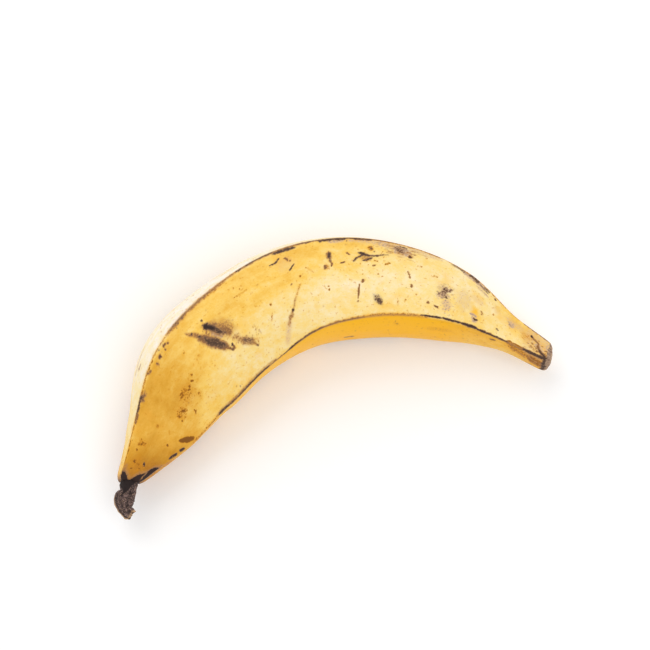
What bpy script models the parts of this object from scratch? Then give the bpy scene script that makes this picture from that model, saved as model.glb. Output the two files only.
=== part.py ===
"""A ripe plantain lying on its side, modelled as the one solid that it grew as.

The constants are in millimetres and degrees, and the model is in metres. +Z is up,
and +X points from the blossom tip to the cut stem end. The origin is the middle of
the footprint, on the surface that the fruit lies on.
"""

from typing import NamedTuple

import bmesh
import bpy
import numpy as np

MM = 0.001

# The fruit has four ridges. Two of them swing round it from stem to tip, and the
# other two stay level along the underside, one on each edge of the face it lies on.
OUTER_RIDGE = -30.0
UNDER_RIDGE = 216.0

DEPTH_RATIO = 1.05          # height of a section for its width
RIDGE_SHARPNESS = 14.0      # the higher, the tighter a ridge turns its corner
CONTACT_FLAT = 0.3          # how far the peel flattens where it bears on the surface

# The stem is cut a little askew, so its end slides towards the tip on the outer and
# upper side, by these shares of the distance out and up, over the last of the neck.
CUT_SLANT_OUT = 0.19
CUT_SLANT_UP = 0.10
CUT_SLANT_LENGTH = 14.0

RINGS_ALONG_PEEL = 46
RINGS_ALONG_REMNANT = 10
POINTS_PER_FACE = 8

PEEL_YELLOW = (0.83, 0.52, 0.10, 1.0)
PEEL_ROUGHNESS = 0.42


class Station(NamedTuple):
    """One section of the fruit, square to its curved centre line in plan."""

    x: float
    y: float
    z: float
    half_width: float
    upper_ridge: float      # angle from the outside of the bend, up and over the top
    inner_ridge: float
    angularity: float       # 0 is a round section and 1 is a flat-sided one


PEEL = (
    Station(103.0, -43.5, 15.0, 7.4, 18.0, 124.0, 0.80),     # cut stem end
    Station(91.0, -29.0, 16.0, 8.8, 20.0, 128.0, 0.78),      # neck
    Station(71.0, -7.0, 17.5, 18.3, 27.0, 130.0, 0.68),      # stem shoulder
    Station(39.5, 13.3, 19.2, 24.5, 34.0, 136.0, 0.60),
    Station(4.0, 23.0, 21.0, 27.3, 48.0, 149.0, 0.52),       # top of the bend
    Station(-29.0, 19.0, 21.7, 28.0, 59.0, 166.0, 0.50),
    Station(-57.5, 6.0, 21.0, 27.5, 64.0, 170.0, 0.52),      # the thickest part
    Station(-77.0, -12.0, 16.5, 19.0, 61.0, 172.0, 0.66),    # blossom shoulder
    Station(-98.2, -31.0, 15.5, 6.3, 64.0, 144.0, 0.80),     # end of the peel
)

REMNANT = (
    Station(-99.4, -32.8, 15.4, 4.5, 64.0, 144.0, 0.70),     # root of the dried flower
    Station(-101.0, -35.7, 15.2, 4.3, 60.0, 144.0, 0.50),
    Station(-103.0, -38.0, 15.0, 4.8, 55.0, 144.0, 0.50),    # flare
    Station(-104.0, -41.0, 15.0, 4.1, 50.0, 144.0, 0.40),
    Station(-104.2, -43.2, 15.0, 2.9, 50.0, 144.0, 0.30),    # waist
    Station(-103.0, -45.4, 15.0, 2.7, 50.0, 144.0, 0.30),    # lip
    Station(-102.0, -46.8, 15.0, 2.1, 50.0, 144.0, 0.30),
)


def clear_scene():
    """Remove every object, so that the script can be run again."""
    for item in list(bpy.data.objects):
        bpy.data.objects.remove(item, do_unlink=True)


def smooth_rows(stations, count):
    """Return count rows of station values, evenly spaced on a smooth curve through them.

    The curve is a cubic Hermite spline over the distance along the centre line.
    """
    values = np.array(stations)
    steps = np.linalg.norm(np.diff(values[:, :2], axis=0), axis=1)
    knots = np.concatenate(([0.0], np.cumsum(steps)))
    slopes = np.gradient(values, knots, axis=0)
    at = np.linspace(0.0, knots[-1], count)
    left = np.clip(np.searchsorted(knots, at, side="right") - 1, 0, len(knots) - 2)
    width = (knots[left + 1] - knots[left])[:, None]
    t = (at[:, None] - knots[left][:, None]) / width
    start = (1 + 2 * t) * (1 - t) ** 2 * values[left] + t * (1 - t) ** 2 * width * slopes[left]
    end = t * t * (3 - 2 * t) * values[left + 1] + t * t * (t - 1) * width * slopes[left + 1]
    return start + end


def ring_angles(ridges):
    """Return the angles of a ring's points, with one exactly on each ridge."""
    ends = np.append(ridges, ridges[0] + 2 * np.pi)
    steps = np.arange(POINTS_PER_FACE) / POINTS_PER_FACE
    return np.concatenate([a + (b - a) * steps for a, b in zip(ends[:-1], ends[1:])])


def section_radius(angles, ridges, angularity):
    """Return the radius, for a half width of 1, of a circle blended with a soft polygon."""
    ends = np.append(ridges, ridges[0] + 2 * np.pi)
    facing = (ends[1:] + ends[:-1]) / 2
    half_angle = (ends[1:] - ends[:-1]) / 2
    reach = np.clip(np.cos(angles[:, None] - facing), 0.0, None) / np.cos(half_angle)
    polygon = np.sum(reach ** RIDGE_SHARPNESS, axis=1) ** (-1.0 / RIDGE_SHARPNESS)
    return 1.0 - angularity + angularity * polygon


def ring_points(station, course, slant):
    """Return the points of one section, in millimetres.

    Args:
        station: the section's values.
        course: unit vector in plan, along the centre line towards the blossom tip.
        slant: how much of the stem cut's slant the section takes, from 0 to 1.
    """
    ridges = np.radians([OUTER_RIDGE, station.upper_ridge, station.inner_ridge, UNDER_RIDGE])
    angles = ring_angles(ridges)
    radius = station.half_width * section_radius(angles, ridges, station.angularity)
    out = radius * np.cos(angles)
    up = DEPTH_RATIO * radius * np.sin(angles)
    slide = slant * (CUT_SLANT_OUT * out + CUT_SLANT_UP * up)
    return np.column_stack((
        station.x + course[1] * out + course[0] * slide,
        station.y - course[0] * out + course[1] * slide,
        station.z + up,
    ))


def fruit_rings():
    """Return every section of the fruit, from the cut stem end to the end of the remnant."""
    rows = np.vstack((
        smooth_rows(PEEL, RINGS_ALONG_PEEL),
        smooth_rows(REMNANT, RINGS_ALONG_REMNANT),
    ))
    course = np.gradient(rows[:, :2], axis=0)
    course /= np.linalg.norm(course, axis=1)[:, None]
    from_cut = np.linalg.norm(rows[:, :2] - rows[0, :2], axis=1)
    slant = np.clip(1.0 - from_cut / CUT_SLANT_LENGTH, 0.0, 1.0) ** 2
    return [ring_points(Station(*row), *rest) for row, *rest in zip(rows, course, slant)]


def lofted(rings):
    """Return a closed bmesh that runs through the rings and is capped at both ends."""
    bm = bmesh.new()
    loops = [[bm.verts.new(point * MM) for point in ring] for ring in rings]
    for near, far in zip(loops[:-1], loops[1:]):
        for i in range(len(near)):
            bm.faces.new((near[i - 1], near[i], far[i], far[i - 1]))
    bm.faces.new(loops[0])
    bm.faces.new(loops[-1])
    bmesh.ops.recalc_face_normals(bm, faces=bm.faces)
    return bm


def flatten_underside(bm):
    """Cut the fruit flat where it bears on the surface, and close the cut with one face."""
    cut = bmesh.ops.bisect_plane(
        bm,
        geom=bm.verts[:] + bm.edges[:] + bm.faces[:],
        plane_co=(0.0, 0.0, CONTACT_FLAT * MM),
        plane_no=(0.0, 0.0, 1.0),
        clear_inner=True,
    )
    rim = [item for item in cut["geom_cut"] if isinstance(item, bmesh.types.BMEdge)]
    bmesh.ops.edgeloop_fill(bm, edges=rim)
    bmesh.ops.recalc_face_normals(bm, faces=bm.faces)


def centre_on_footprint(bm):
    """Move the fruit so that the origin is the middle of its footprint."""
    points = np.array([vert.co for vert in bm.verts])
    low, high = points.min(axis=0), points.max(axis=0)
    shift = (-(low[0] + high[0]) / 2, -(low[1] + high[1]) / 2, -low[2])
    bmesh.ops.translate(bm, verts=bm.verts, vec=shift)


def peel_material():
    """Return the ripe yellow of the peel."""
    material = bpy.data.materials.new("peel")
    material.use_nodes = True
    shader = material.node_tree.nodes["Principled BSDF"]
    shader.inputs["Base Color"].default_value = PEEL_YELLOW
    shader.inputs["Roughness"].default_value = PEEL_ROUGHNESS
    shader.inputs["Metallic"].default_value = 0.0
    return material


def make_plantain():
    """Build the fruit as one object."""
    bm = lofted(fruit_rings())
    flatten_underside(bm)
    centre_on_footprint(bm)
    mesh = bpy.data.meshes.new("plantain")
    bm.to_mesh(mesh)
    bm.free()
    mesh.shade_smooth()
    mesh.set_sharp_from_angle(angle=np.radians(40.0))
    mesh.materials.append(peel_material())
    return bpy.data.objects.new("plantain", mesh)


def main():
    clear_scene()
    collection = bpy.data.collections.new("plantain")
    bpy.context.scene.collection.children.link(collection)
    collection.objects.link(make_plantain())


if __name__ == "__main__":
    main()
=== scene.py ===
"""A ripe plantain that lies on its side on a pale floor.

The fruit's own sizes are in millimetres and degrees, and the scene is in metres, in the
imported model's frame: +Z is up, and +X points from the blossom tip to the cut stem end.

Places on the skin are given as a distance along the centre line and a turn round the
section. A turn of 0 is the outer ridge, 1 the upper ridge, 2 the inner ridge and 3 the
ridge underneath, so the broad upper face lies between turns 1 and 2. A turn of 4 is the
outer ridge again, where the skin closes.
"""

import logging
import math
from dataclasses import dataclass, field
from enum import Enum
from typing import Any, Callable, Iterable, Sequence

import bmesh
import bpy
import numpy as np
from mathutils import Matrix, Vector, noise

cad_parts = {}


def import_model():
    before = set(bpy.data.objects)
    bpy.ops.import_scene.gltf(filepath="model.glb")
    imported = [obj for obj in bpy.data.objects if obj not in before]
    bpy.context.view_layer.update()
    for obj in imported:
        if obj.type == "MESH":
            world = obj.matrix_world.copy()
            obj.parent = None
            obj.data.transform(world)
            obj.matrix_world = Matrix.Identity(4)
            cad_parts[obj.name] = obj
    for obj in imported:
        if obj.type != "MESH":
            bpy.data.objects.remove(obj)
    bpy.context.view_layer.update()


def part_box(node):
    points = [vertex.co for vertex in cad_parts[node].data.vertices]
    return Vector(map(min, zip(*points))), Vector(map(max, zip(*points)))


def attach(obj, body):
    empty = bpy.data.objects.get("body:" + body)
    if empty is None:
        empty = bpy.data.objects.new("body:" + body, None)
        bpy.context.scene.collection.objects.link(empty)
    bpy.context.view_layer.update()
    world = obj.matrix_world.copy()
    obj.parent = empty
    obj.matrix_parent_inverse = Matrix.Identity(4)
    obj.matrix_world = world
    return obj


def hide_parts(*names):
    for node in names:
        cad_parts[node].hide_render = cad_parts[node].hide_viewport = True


LOG = logging.getLogger("plantain")
MM = 0.001

# How many faces the fruit has between its ridges.
FACES = 4

# In metres: points this close are one, and shorter edges than this are dissolved.
WELD = 1e-7
SLIVER = 1e-8

# Keeps a leg of no length from dividing by 0.
TINY = 1e-9

Array = np.ndarray
Colour = tuple[float, float, float]
Spot = tuple[float, float]
Pair = tuple[float, float]
Size = tuple[float, float, float]


# ---------------------------------------------------------------- number fields


@dataclass(frozen=True)
class Ramp:
    """A smooth step from 0 at one value to 1 at another."""

    low: float
    high: float

    def at(self, value: Array) -> Array:
        """Return the step's height at values."""
        t = np.clip((value - self.low) / (self.high - self.low), 0.0, 1.0)
        return t * t * (3 - 2 * t)


@dataclass(frozen=True)
class Grain:
    """Smooth noise, with a size along each coordinate and a seed that sets it apart."""

    size: Size
    seed: float

    def at(self, points: Array) -> Array:
        """Read the noise.

        Args:
            points: an array whose last axis holds three coordinates.

        Returns:
            Values from about -1 to 1, one for each point.
        """
        flat = points.reshape(-1, 3) / np.array(self.size) + self.seed
        values = [noise.noise(place) for place in flat.tolist()]
        return np.array(values).reshape(points.shape[:-1])


def nearness(distance: Array, reach: float) -> Array:
    """Return 1 at no distance, falling in a straight line to 0 at the reach."""
    return np.clip(1.0 - distance / reach, 0.0, 1.0)


def vectors(first: Array, second: Array | float = 0.0, third: Array | float = 0.0) -> Array:
    """Return three numbers for each point, the last two 0 unless given."""
    return np.stack(np.broadcast_arrays(first, second, third), axis=-1)


def shrunk(ring: Array, shares: Array) -> Array:
    """Return copies of a closed ring, drawn in to shares of its size about its middle."""
    middle = ring[:-1].mean(axis=0)
    return middle + shares[:, None, None] * (ring - middle)


# ---------------------------------------------------------------- the fruit's form


@dataclass(frozen=True)
class Station:
    """One section of the fruit, square to its curved centre line in plan."""

    x: float
    y: float
    z: float
    half_width: float
    upper_ridge: float
    inner_ridge: float
    angularity: float


PEEL_STATIONS = (
    Station(103.0, -43.5, 15.0, 7.4, 18.0, 124.0, 0.80),
    Station(91.0, -29.0, 16.0, 8.8, 20.0, 128.0, 0.78),
    Station(71.0, -7.0, 17.5, 18.3, 27.0, 130.0, 0.68),
    Station(39.5, 13.3, 19.2, 24.5, 34.0, 136.0, 0.60),
    Station(4.0, 23.0, 21.0, 27.3, 48.0, 149.0, 0.52),
    Station(-29.0, 19.0, 21.7, 28.0, 59.0, 166.0, 0.50),
    Station(-57.5, 6.0, 21.0, 27.5, 64.0, 170.0, 0.52),
    Station(-77.0, -12.0, 16.5, 19.0, 61.0, 172.0, 0.66),
    Station(-98.2, -31.0, 15.5, 6.3, 64.0, 144.0, 0.80),
)

REMNANT_STATIONS = (
    Station(-97.4, -30.0, 15.4, 4.4, 64.0, 144.0, 0.60),
    Station(-99.2, -33.0, 15.4, 4.5, 64.0, 144.0, 0.50),
    Station(-100.6, -36.0, 15.2, 4.2, 60.0, 144.0, 0.40),
    Station(-102.9, -38.3, 15.0, 5.1, 55.0, 144.0, 0.30),
    Station(-104.0, -41.0, 15.0, 4.3, 50.0, 144.0, 0.20),
    Station(-104.2, -43.2, 15.0, 3.2, 50.0, 144.0, 0.10),
    Station(-103.0, -45.4, 15.0, 3.1, 50.0, 144.0, 0.10),
    Station(-102.0, -46.8, 15.0, 2.4, 50.0, 144.0, 0.10),
)


@dataclass(frozen=True)
class FruitForm:
    """How the fruit's sections are shaped, and how it bears on the floor."""

    outer_ridge: float = -30.0
    under_ridge: float = 216.0
    depth_ratio: float = 1.05
    ridge_sharpness: float = 14.0
    contact_flat: float = 0.3
    cut_slant_out: float = 0.19
    cut_slant_up: float = 0.10
    cut_slant_length: float = 14.0

    def knots(self, stations: Sequence[Station]) -> Array:
        """Measure the centre line in plan.

        Args:
            stations: the sections that the line runs through.

        Returns:
            Each station's distance along the line.
        """
        plan = np.array([(item.x, item.y) for item in stations])
        steps = np.linalg.norm(np.diff(plan, axis=0), axis=1)
        return np.concatenate(([0.0], np.cumsum(steps)))

    def columns(self, stations: Sequence[Station], at: Array) -> Array:
        """Read a smooth curve through the stations.

        Args:
            stations: the sections that the curve runs through.
            at: distances along the centre line.

        Returns:
            A row for each of a station's values, with one number for each distance.
        """
        values = np.array([
            (item.x, item.y, item.z, item.half_width, item.upper_ridge, item.inner_ridge, item.angularity)
            for item in stations
        ])
        knots = self.knots(stations)
        slopes = np.gradient(values, knots, axis=0)
        left = np.clip(np.searchsorted(knots, at, side="right") - 1, 0, len(knots) - 2)
        width = (knots[left + 1] - knots[left])[:, None]
        t = (at[:, None] - knots[left][:, None]) / width
        start = (1 + 2 * t) * (1 - t) ** 2 * values[left] + t * (1 - t) ** 2 * width * slopes[left]
        end = t * t * (3 - 2 * t) * values[left + 1] + t * t * (t - 1) * width * slopes[left + 1]
        return (start + end).T

    def radius(self, angles: Array, ridges: Array, angularity: Array) -> Array:
        """Shape the sections as circles blended with soft polygons.

        Args:
            angles: one row of angles for each section, in radians.
            ridges: the four ridge angles of each section, and the first again.
            angularity: how flat-sided each section is.

        Returns:
            The radius at each angle, for a half width of 1.
        """
        facing = (ridges[:, 1:] + ridges[:, :-1]) / 2
        half = (ridges[:, 1:] - ridges[:, :-1]) / 2
        turned = np.cos(angles[:, :, None] - facing[:, None, :])
        reach = np.clip(turned, 0.0, None) / np.cos(half)[:, None, :]
        polygon = np.sum(reach ** self.ridge_sharpness, axis=2) ** (-1.0 / self.ridge_sharpness)
        share = angularity[:, None]
        return 1.0 - share + share * polygon


class Skin:
    """A skin wrapped round the centre line, with a row per section and a column per turn."""

    def __init__(self, form: FruitForm, stations: Sequence[Station], at: Array, turns: Array):
        """Work out the sections.

        Args:
            form: the section rules.
            stations: the stations that the skin follows.
            at: the rows' distances along the centre line.
            turns: the columns' turns round the section, from 0 to 4.
        """
        self.form = form
        self.at = at
        self.turns = turns
        x, y, z, self.half_width, upper, inner, angularity = form.columns(stations, at)
        self.centre = np.column_stack((x, y, z))
        course = np.gradient(self.centre[:, :2], axis=0)
        self.course = course / np.linalg.norm(course, axis=1)[:, None]
        outer = np.full(len(at), form.outer_ridge)
        under = np.full(len(at), form.under_ridge)
        ridges = np.radians(np.column_stack((outer, upper, inner, under, outer + 360.0)))
        face = np.clip(turns.astype(int), 0, FACES - 1)
        part = turns - face
        self.angle = ridges[:, face] * (1 - part) + ridges[:, face + 1] * part
        self.radius = self.half_width[:, None] * form.radius(self.angle, ridges, angularity)
        self.out, self.up = self.across(0.0)
        self.arc = self.from_ridge(1.0)

    def across(self, lift: Array | float) -> tuple[Array, Array]:
        """Return how far out and how far up each point lies in its section."""
        radius = self.radius + lift
        return radius * np.cos(self.angle), self.form.depth_ratio * radius * np.sin(self.angle)

    def from_ridge(self, turn: float) -> Array:
        """Measure the skin round its sections.

        Args:
            turn: the turn of the ridge to measure from.

        Returns:
            How far round its section each point lies from the ridge, below 0 at lower turns.
        """
        steps = np.hypot(np.diff(self.out, axis=1), np.diff(self.up, axis=1))
        arc = np.concatenate((np.zeros((len(self.at), 1)), np.cumsum(steps, axis=1)), axis=1)
        column = int(np.argmin(np.abs(self.turns - turn)))
        return arc - arc[:, column:column + 1]

    def near_cut(self) -> Array:
        """Return how much each row feels the slant of the cut."""
        return nearness(self.at, self.form.cut_slant_length)[:, None] ** 2

    def cut_slide(self) -> Array:
        """Return how far the slanted cut slides each point towards the tip."""
        form = self.form
        return self.near_cut() * (form.cut_slant_out * self.out + form.cut_slant_up * self.up)

    def points(self, lift: Array, slide: Array) -> Array:
        """Place the skin.

        Args:
            lift: how far each point is raised from the form, in its section.
            slide: how far each point is moved towards the tip, along the centre line.

        Returns:
            The points, in millimetres.
        """
        out, up = self.across(lift)
        x = self.centre[:, :1] + self.course[:, 1:] * out + self.course[:, :1] * slide
        y = self.centre[:, 1:2] - self.course[:, :1] * out + self.course[:, 1:] * slide
        return np.stack((x, y, self.centre[:, 2:] + up), axis=2)

    def grown(self) -> Array:
        """Return the points of the straightened fruit: along, out and up, in millimetres."""
        along = np.broadcast_to(self.at[:, None], self.out.shape)
        return np.stack((along, self.out, self.up), axis=2)

    def arc_at(self, along: float, turn: float) -> float:
        """Return the distance round the section from the upper ridge to a place."""
        row = int(np.clip(np.searchsorted(self.at, along), 0, len(self.at) - 1))
        return float(np.interp(turn, self.turns, self.arc[row]))


# ---------------------------------------------------------------- marks on the skin


# The share across the broad face at which the skin's two edges meet.
SEAM = -1.0

# How much of its width a mark loses at the very end of its path.
END_THINNING = 0.92


class Stain(Enum):
    """The kinds of mark that the skin carries."""

    INK = "black rub or latex stain"
    BRUISE = "brown sunken bruise"
    # Orange-brown specks, and orange-brown painted shade along the ridges and the low edge of the inner
    # face.
    RUST_AND_SHADE = "orange-brown speck"
    CHAFE = "grey rub"
    GOLD = "deeper yellow"


@dataclass(frozen=True)
class Mark:
    """One mark, drawn along a path on the skin.

    Each place is a distance from the stem end and a share of the way across the broad
    face, from 0 at the upper ridge to 1 at the inner ridge. A share of -1 is the outer
    ridge and 2 the ridge underneath. A single place makes a spot.
    """

    stain: Stain
    width: float
    strength: float
    path: tuple[Spot, ...]
    soft: float = 0.5
    ragged: float = 0.35
    end_width: float | None = None
    taper: float = 6.0

    def half_width(self, share: Array) -> Array:
        """Draw the mark's width in at its ends.

        Args:
            share: shares of the way along the mark.

        Returns:
            Half the mark's width at each of them.
        """
        if len(self.path) == 1:
            return np.full_like(share, self.width / 2)
        end = self.width if self.end_width is None else self.end_width
        drawn = np.sqrt(1.0 - END_THINNING * np.abs(2.0 * share - 1.0) ** self.taper)
        return (self.width + (end - self.width) * share) / 2 * drawn


@dataclass(frozen=True)
class Cluster:
    """Many small flecks about one place on the skin, thickest at its middle.

    They spread in millimetres along and round the fruit. A streak draws each fleck out
    along it, by up to that many millimetres.
    """

    stain: Stain
    count: int
    fleck: float
    strength: float
    place: Spot
    spread: Pair
    streak: float = 0.0


def maker(stain: Stain) -> Callable[..., Mark]:
    """Return a function that makes marks of one kind.

    Args:
        stain: the kind of mark.

    Returns:
        A function of a width, a strength, the path's places and any other sizes of a Mark.
    """
    def make(width: float, strength: float, *path: Spot, **sizes: float) -> Mark:
        """Make one mark."""
        return Mark(stain, width, strength, path, **sizes)

    return make


ink, bruise, rust_and_shade, chafe, gold = (maker(stain) for stain in Stain)


# The line along the upper ridge: rubs and stains, and a thin orange-brown line laid all along it that is
# painted shade where the two faces meet.
UPPER_RIDGE_MARKS = (
    bruise(1.4, 0.58, (184, 0.0), (172, 0.0), end_width=2.2, soft=1.0),
    bruise(2.2, 0.62, (172, 0.0), (146, 0.0), end_width=1.2, soft=1.0),
    bruise(1.3, 0.60, (146, 0.0), (104, 0.0), soft=0.9),
    # Painted shade: the next two marks lay an orange-brown line along the ridge where the faces meet.
    rust_and_shade(2.8, 0.55, (184, 0.0), (150, 0.0), soft=1.6),
    rust_and_shade(1.8, 0.50, (150, 0.0), (60, 0.0), soft=1.2),
    ink(0.8, 0.55, (182, 0.0), (172, 0.0)),
    ink(0.6, 0.40, (172, 0.0), (159, 0.0)),
    ink(0.9, 0.9, (146, 0.0), (143.5, 0.0)),
    ink(0.7, 0.8, (143, 0.0), (130, 0.0)),
    ink(1.7, 0.80, (130, 0.02), (121, 0.03), soft=0.9, ragged=0.15),
    ink(0.8, 0.7, (120, 0.0), (112, 0.0), soft=0.7),
    ink(1.7, 0.78, (112, 0.01), (101, 0.01), soft=1.0),
    chafe(2.4, 0.5, (108, 0.03), (102, 0.03), soft=1.2),
    ink(0.9, 0.8, (102, 0.0), (90, 0.0), ragged=0.5),
    bruise(1.4, 0.8, (98, 0.01), (90, 0.01), soft=0.6),
    rust_and_shade(1.4, 0.8, (93, 0.0), (82, 0.0)),
    ink(0.7, 0.55, (91, 0.0), (82, 0.0)),
    bruise(0.9, 0.6, (84, 0.0), (60, 0.0)),
    ink(1.6, 0.5, (57, 0.02), (50, 0.03), soft=0.8),
    ink(2.0, 0.70, (48.6, 0.02), (43.6, 0.03), soft=1.2, ragged=0.7),
    chafe(2.8, 0.6, (51.4, 0.04), (39.4, 0.05), soft=1.2),
    chafe(1.2, 0.5, (44.4, 0.12), (37.4, 0.15), soft=0.8),
    ink(0.9, 0.5, (43, 0.05), (38, 0.09)),
    ink(1.0, 0.55, (41, 0.03), (38, 0.04)),
    bruise(1.3, 1.0, (34.9, 0.05), (34.0, 0.06)),
    # Painted shade: the orange-brown line along the ridge, on towards the stem.
    rust_and_shade(1.3, 0.5, (60, 0.0), (18, 0.0), soft=0.8),
    bruise(0.9, 0.8, (19, 0.0), (1.5, 0.0)),
    ink(0.6, 0.5, (16, 0.0), (1.5, 0.0)),
    bruise(1.0, 0.7, (200, 0.01), (198, 0.02), ragged=0.8),
    bruise(2.6, 0.7, (211.0, 0.02), (207.0, 0.03), soft=1.6, ragged=1.2),
    ink(1.5, 0.7, (210.6, 0.01), (208.0, 0.02), soft=0.9, ragged=0.9),
    ink(1.0, 0.8, (218.0, 0.0), (210.0, 0.0), ragged=0.6),
    bruise(1.3, 0.7, (221.0, 0.01), (217.0, 0.01), ragged=0.8),
)

# The darker line along the inner ridge, with thin orange-brown lines laid along it that are painted shade
# where the two faces meet.
INNER_RIDGE_MARKS = (
    ink(1.8, 0.86, (1.5, 0.935), (6, 0.965), (13, 0.985), end_width=1.1, soft=0.9, ragged=0.15),
    rust_and_shade(2.4, 0.8, (12, 1.01), (21, 1.0), soft=0.7),
    bruise(1.0, 0.6, (12, 1.0), (34, 0.98)),
    ink(0.8, 0.85, (20, 0.99), (36, 0.98), ragged=0.15),
    ink(1.2, 0.90, (35.4, 0.97), (43.4, 0.97), soft=0.6, ragged=0.15),
    ink(0.9, 0.90, (43.4, 0.97), (54, 0.97), soft=0.6, ragged=0.15),
    ink(1.1, 0.88, (54, 0.97), (64.5, 0.98), end_width=0.6, ragged=0.15),
    bruise(0.7, 0.5, (64, 0.99), (94, 1.0), soft=0.6),
    bruise(1.1, 0.75, (92, 1.0), (116, 1.0), soft=0.7),
    # Painted shade: an orange-brown line along the ridge where the faces meet.
    rust_and_shade(1.6, 0.5, (60, 0.99), (118, 1.0), soft=0.9),
    ink(0.5, 0.35, (94, 1.0), (118, 1.0), ragged=0.15),
    bruise(1.3, 0.8, (114, 1.0), (136, 1.0), soft=0.7),
    ink(0.8, 0.80, (117, 1.0), (134, 1.0), ragged=0.15),
    ink(1.2, 0.88, (134, 1.0), (141, 1.0), ragged=0.15),
    ink(0.8, 0.9, (141, 1.0), (145, 1.0), ragged=0.15),
    bruise(0.8, 0.7, (144, 1.0), (156, 1.0)),
    ink(0.5, 0.5, (145, 1.0), (155, 1.0), ragged=0.15),
    bruise(2.2, 0.42, (150, 0.985), (201, 0.985), soft=1.4, ragged=0.3),
    ink(1.4, 0.78, (155, 0.995), (183, 0.995), soft=0.8, ragged=0.15),
    rust_and_shade(1.8, 0.6, (182, 0.99), (191, 0.99), soft=0.6),
    ink(1.1, 0.74, (183, 0.995), (190, 0.995), soft=0.8, ragged=0.15),
    ink(1.5, 0.80, (190, 0.995), (200, 0.995), soft=0.8, ragged=0.2),
    # Painted shade: an orange-brown line along the ridge where the faces meet.
    rust_and_shade(1.4, 0.5, (200, 1.0), (216, 1.0), soft=0.9),
    ink(0.9, 0.90, (219.4, 0.98), (221.9, 0.97), ragged=0.25),
    ink(1.1, 0.90, (223.1, 0.97), (227.2, 0.96), end_width=0.7, ragged=0.25),
)

# The large bruises on the broad face, towards the tip.
BRUISES = (
    ink(1.0, 0.85, (169.7, 0.145)),
    bruise(7.4, 0.44, (168.6, 0.27), (161.0, 0.42), soft=5.0, ragged=1.0),
    bruise(5.0, 0.70, (170.8, 0.20), (162.6, 0.44), soft=3.2, ragged=0.8, taper=3.0),
    bruise(4.6, 0.50, (166.4, 0.28), (162.4, 0.40), soft=3.0, ragged=1.2),
    ink(3.2, 1.0, (170.4, 0.19), (168.0, 0.290), end_width=2.2, soft=1.7, ragged=0.6),
    ink(3.0, 0.82, (168.9, 0.26), (165.2, 0.405), end_width=2.2, soft=2.2, ragged=0.9),
    chafe(2.0, 0.7, (170.2, 0.29), (167.2, 0.41), soft=1.0, ragged=0.7),
    bruise(0.9, 0.60, (178.8, 0.115), (175.2, 0.23), end_width=2.8, soft=0.9),
    ink(1.0, 0.85, (176.9, 0.165)),
    ink(1.4, 0.80, (175.2, 0.235), soft=0.8),
    bruise(4.8, 0.80, (175.8, 0.235), (168.2, 0.545), soft=2.4, taper=3.0),
    ink(3.6, 0.78, (174.6, 0.29), (168.8, 0.505), soft=2.4, ragged=1.1, taper=3.0),
    bruise(1.3, 0.8, (168.4, 0.54), (167.2, 0.585), (166.0, 0.585), (165.7, 0.55)),
    ink(1.5, 0.85, (166.1, 0.53), (165.7, 0.555), soft=0.7),
    ink(1.1, 0.70, (167.2, 0.585), soft=0.6),
    bruise(3.2, 0.42, (163.0, 0.49), (160.2, 0.57), soft=2.4, ragged=1.0),
    bruise(3.8, 0.53, (161.2, 0.56), (155.6, 0.705), soft=2.6, ragged=0.9, taper=3.0),
    ink(2.2, 0.50, (160.0, 0.585), (156.8, 0.665), soft=1.9, ragged=1.1),
    bruise(1.5, 0.60, (157.2, 0.68), (155.2, 0.74), soft=0.9),
    ink(1.3, 0.65, (155.1, 0.745), soft=0.8),
    rust_and_shade(1.0, 0.45, (155.1, 0.75), (153.9, 0.73), (153.6, 0.69), (155.0, 0.67), soft=0.8),
    rust_and_shade(0.9, 0.45, (167.0, 0.69), (165.8, 0.70)),
    rust_and_shade(0.7, 0.4, (152.4, 0.85)),
)

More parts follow.
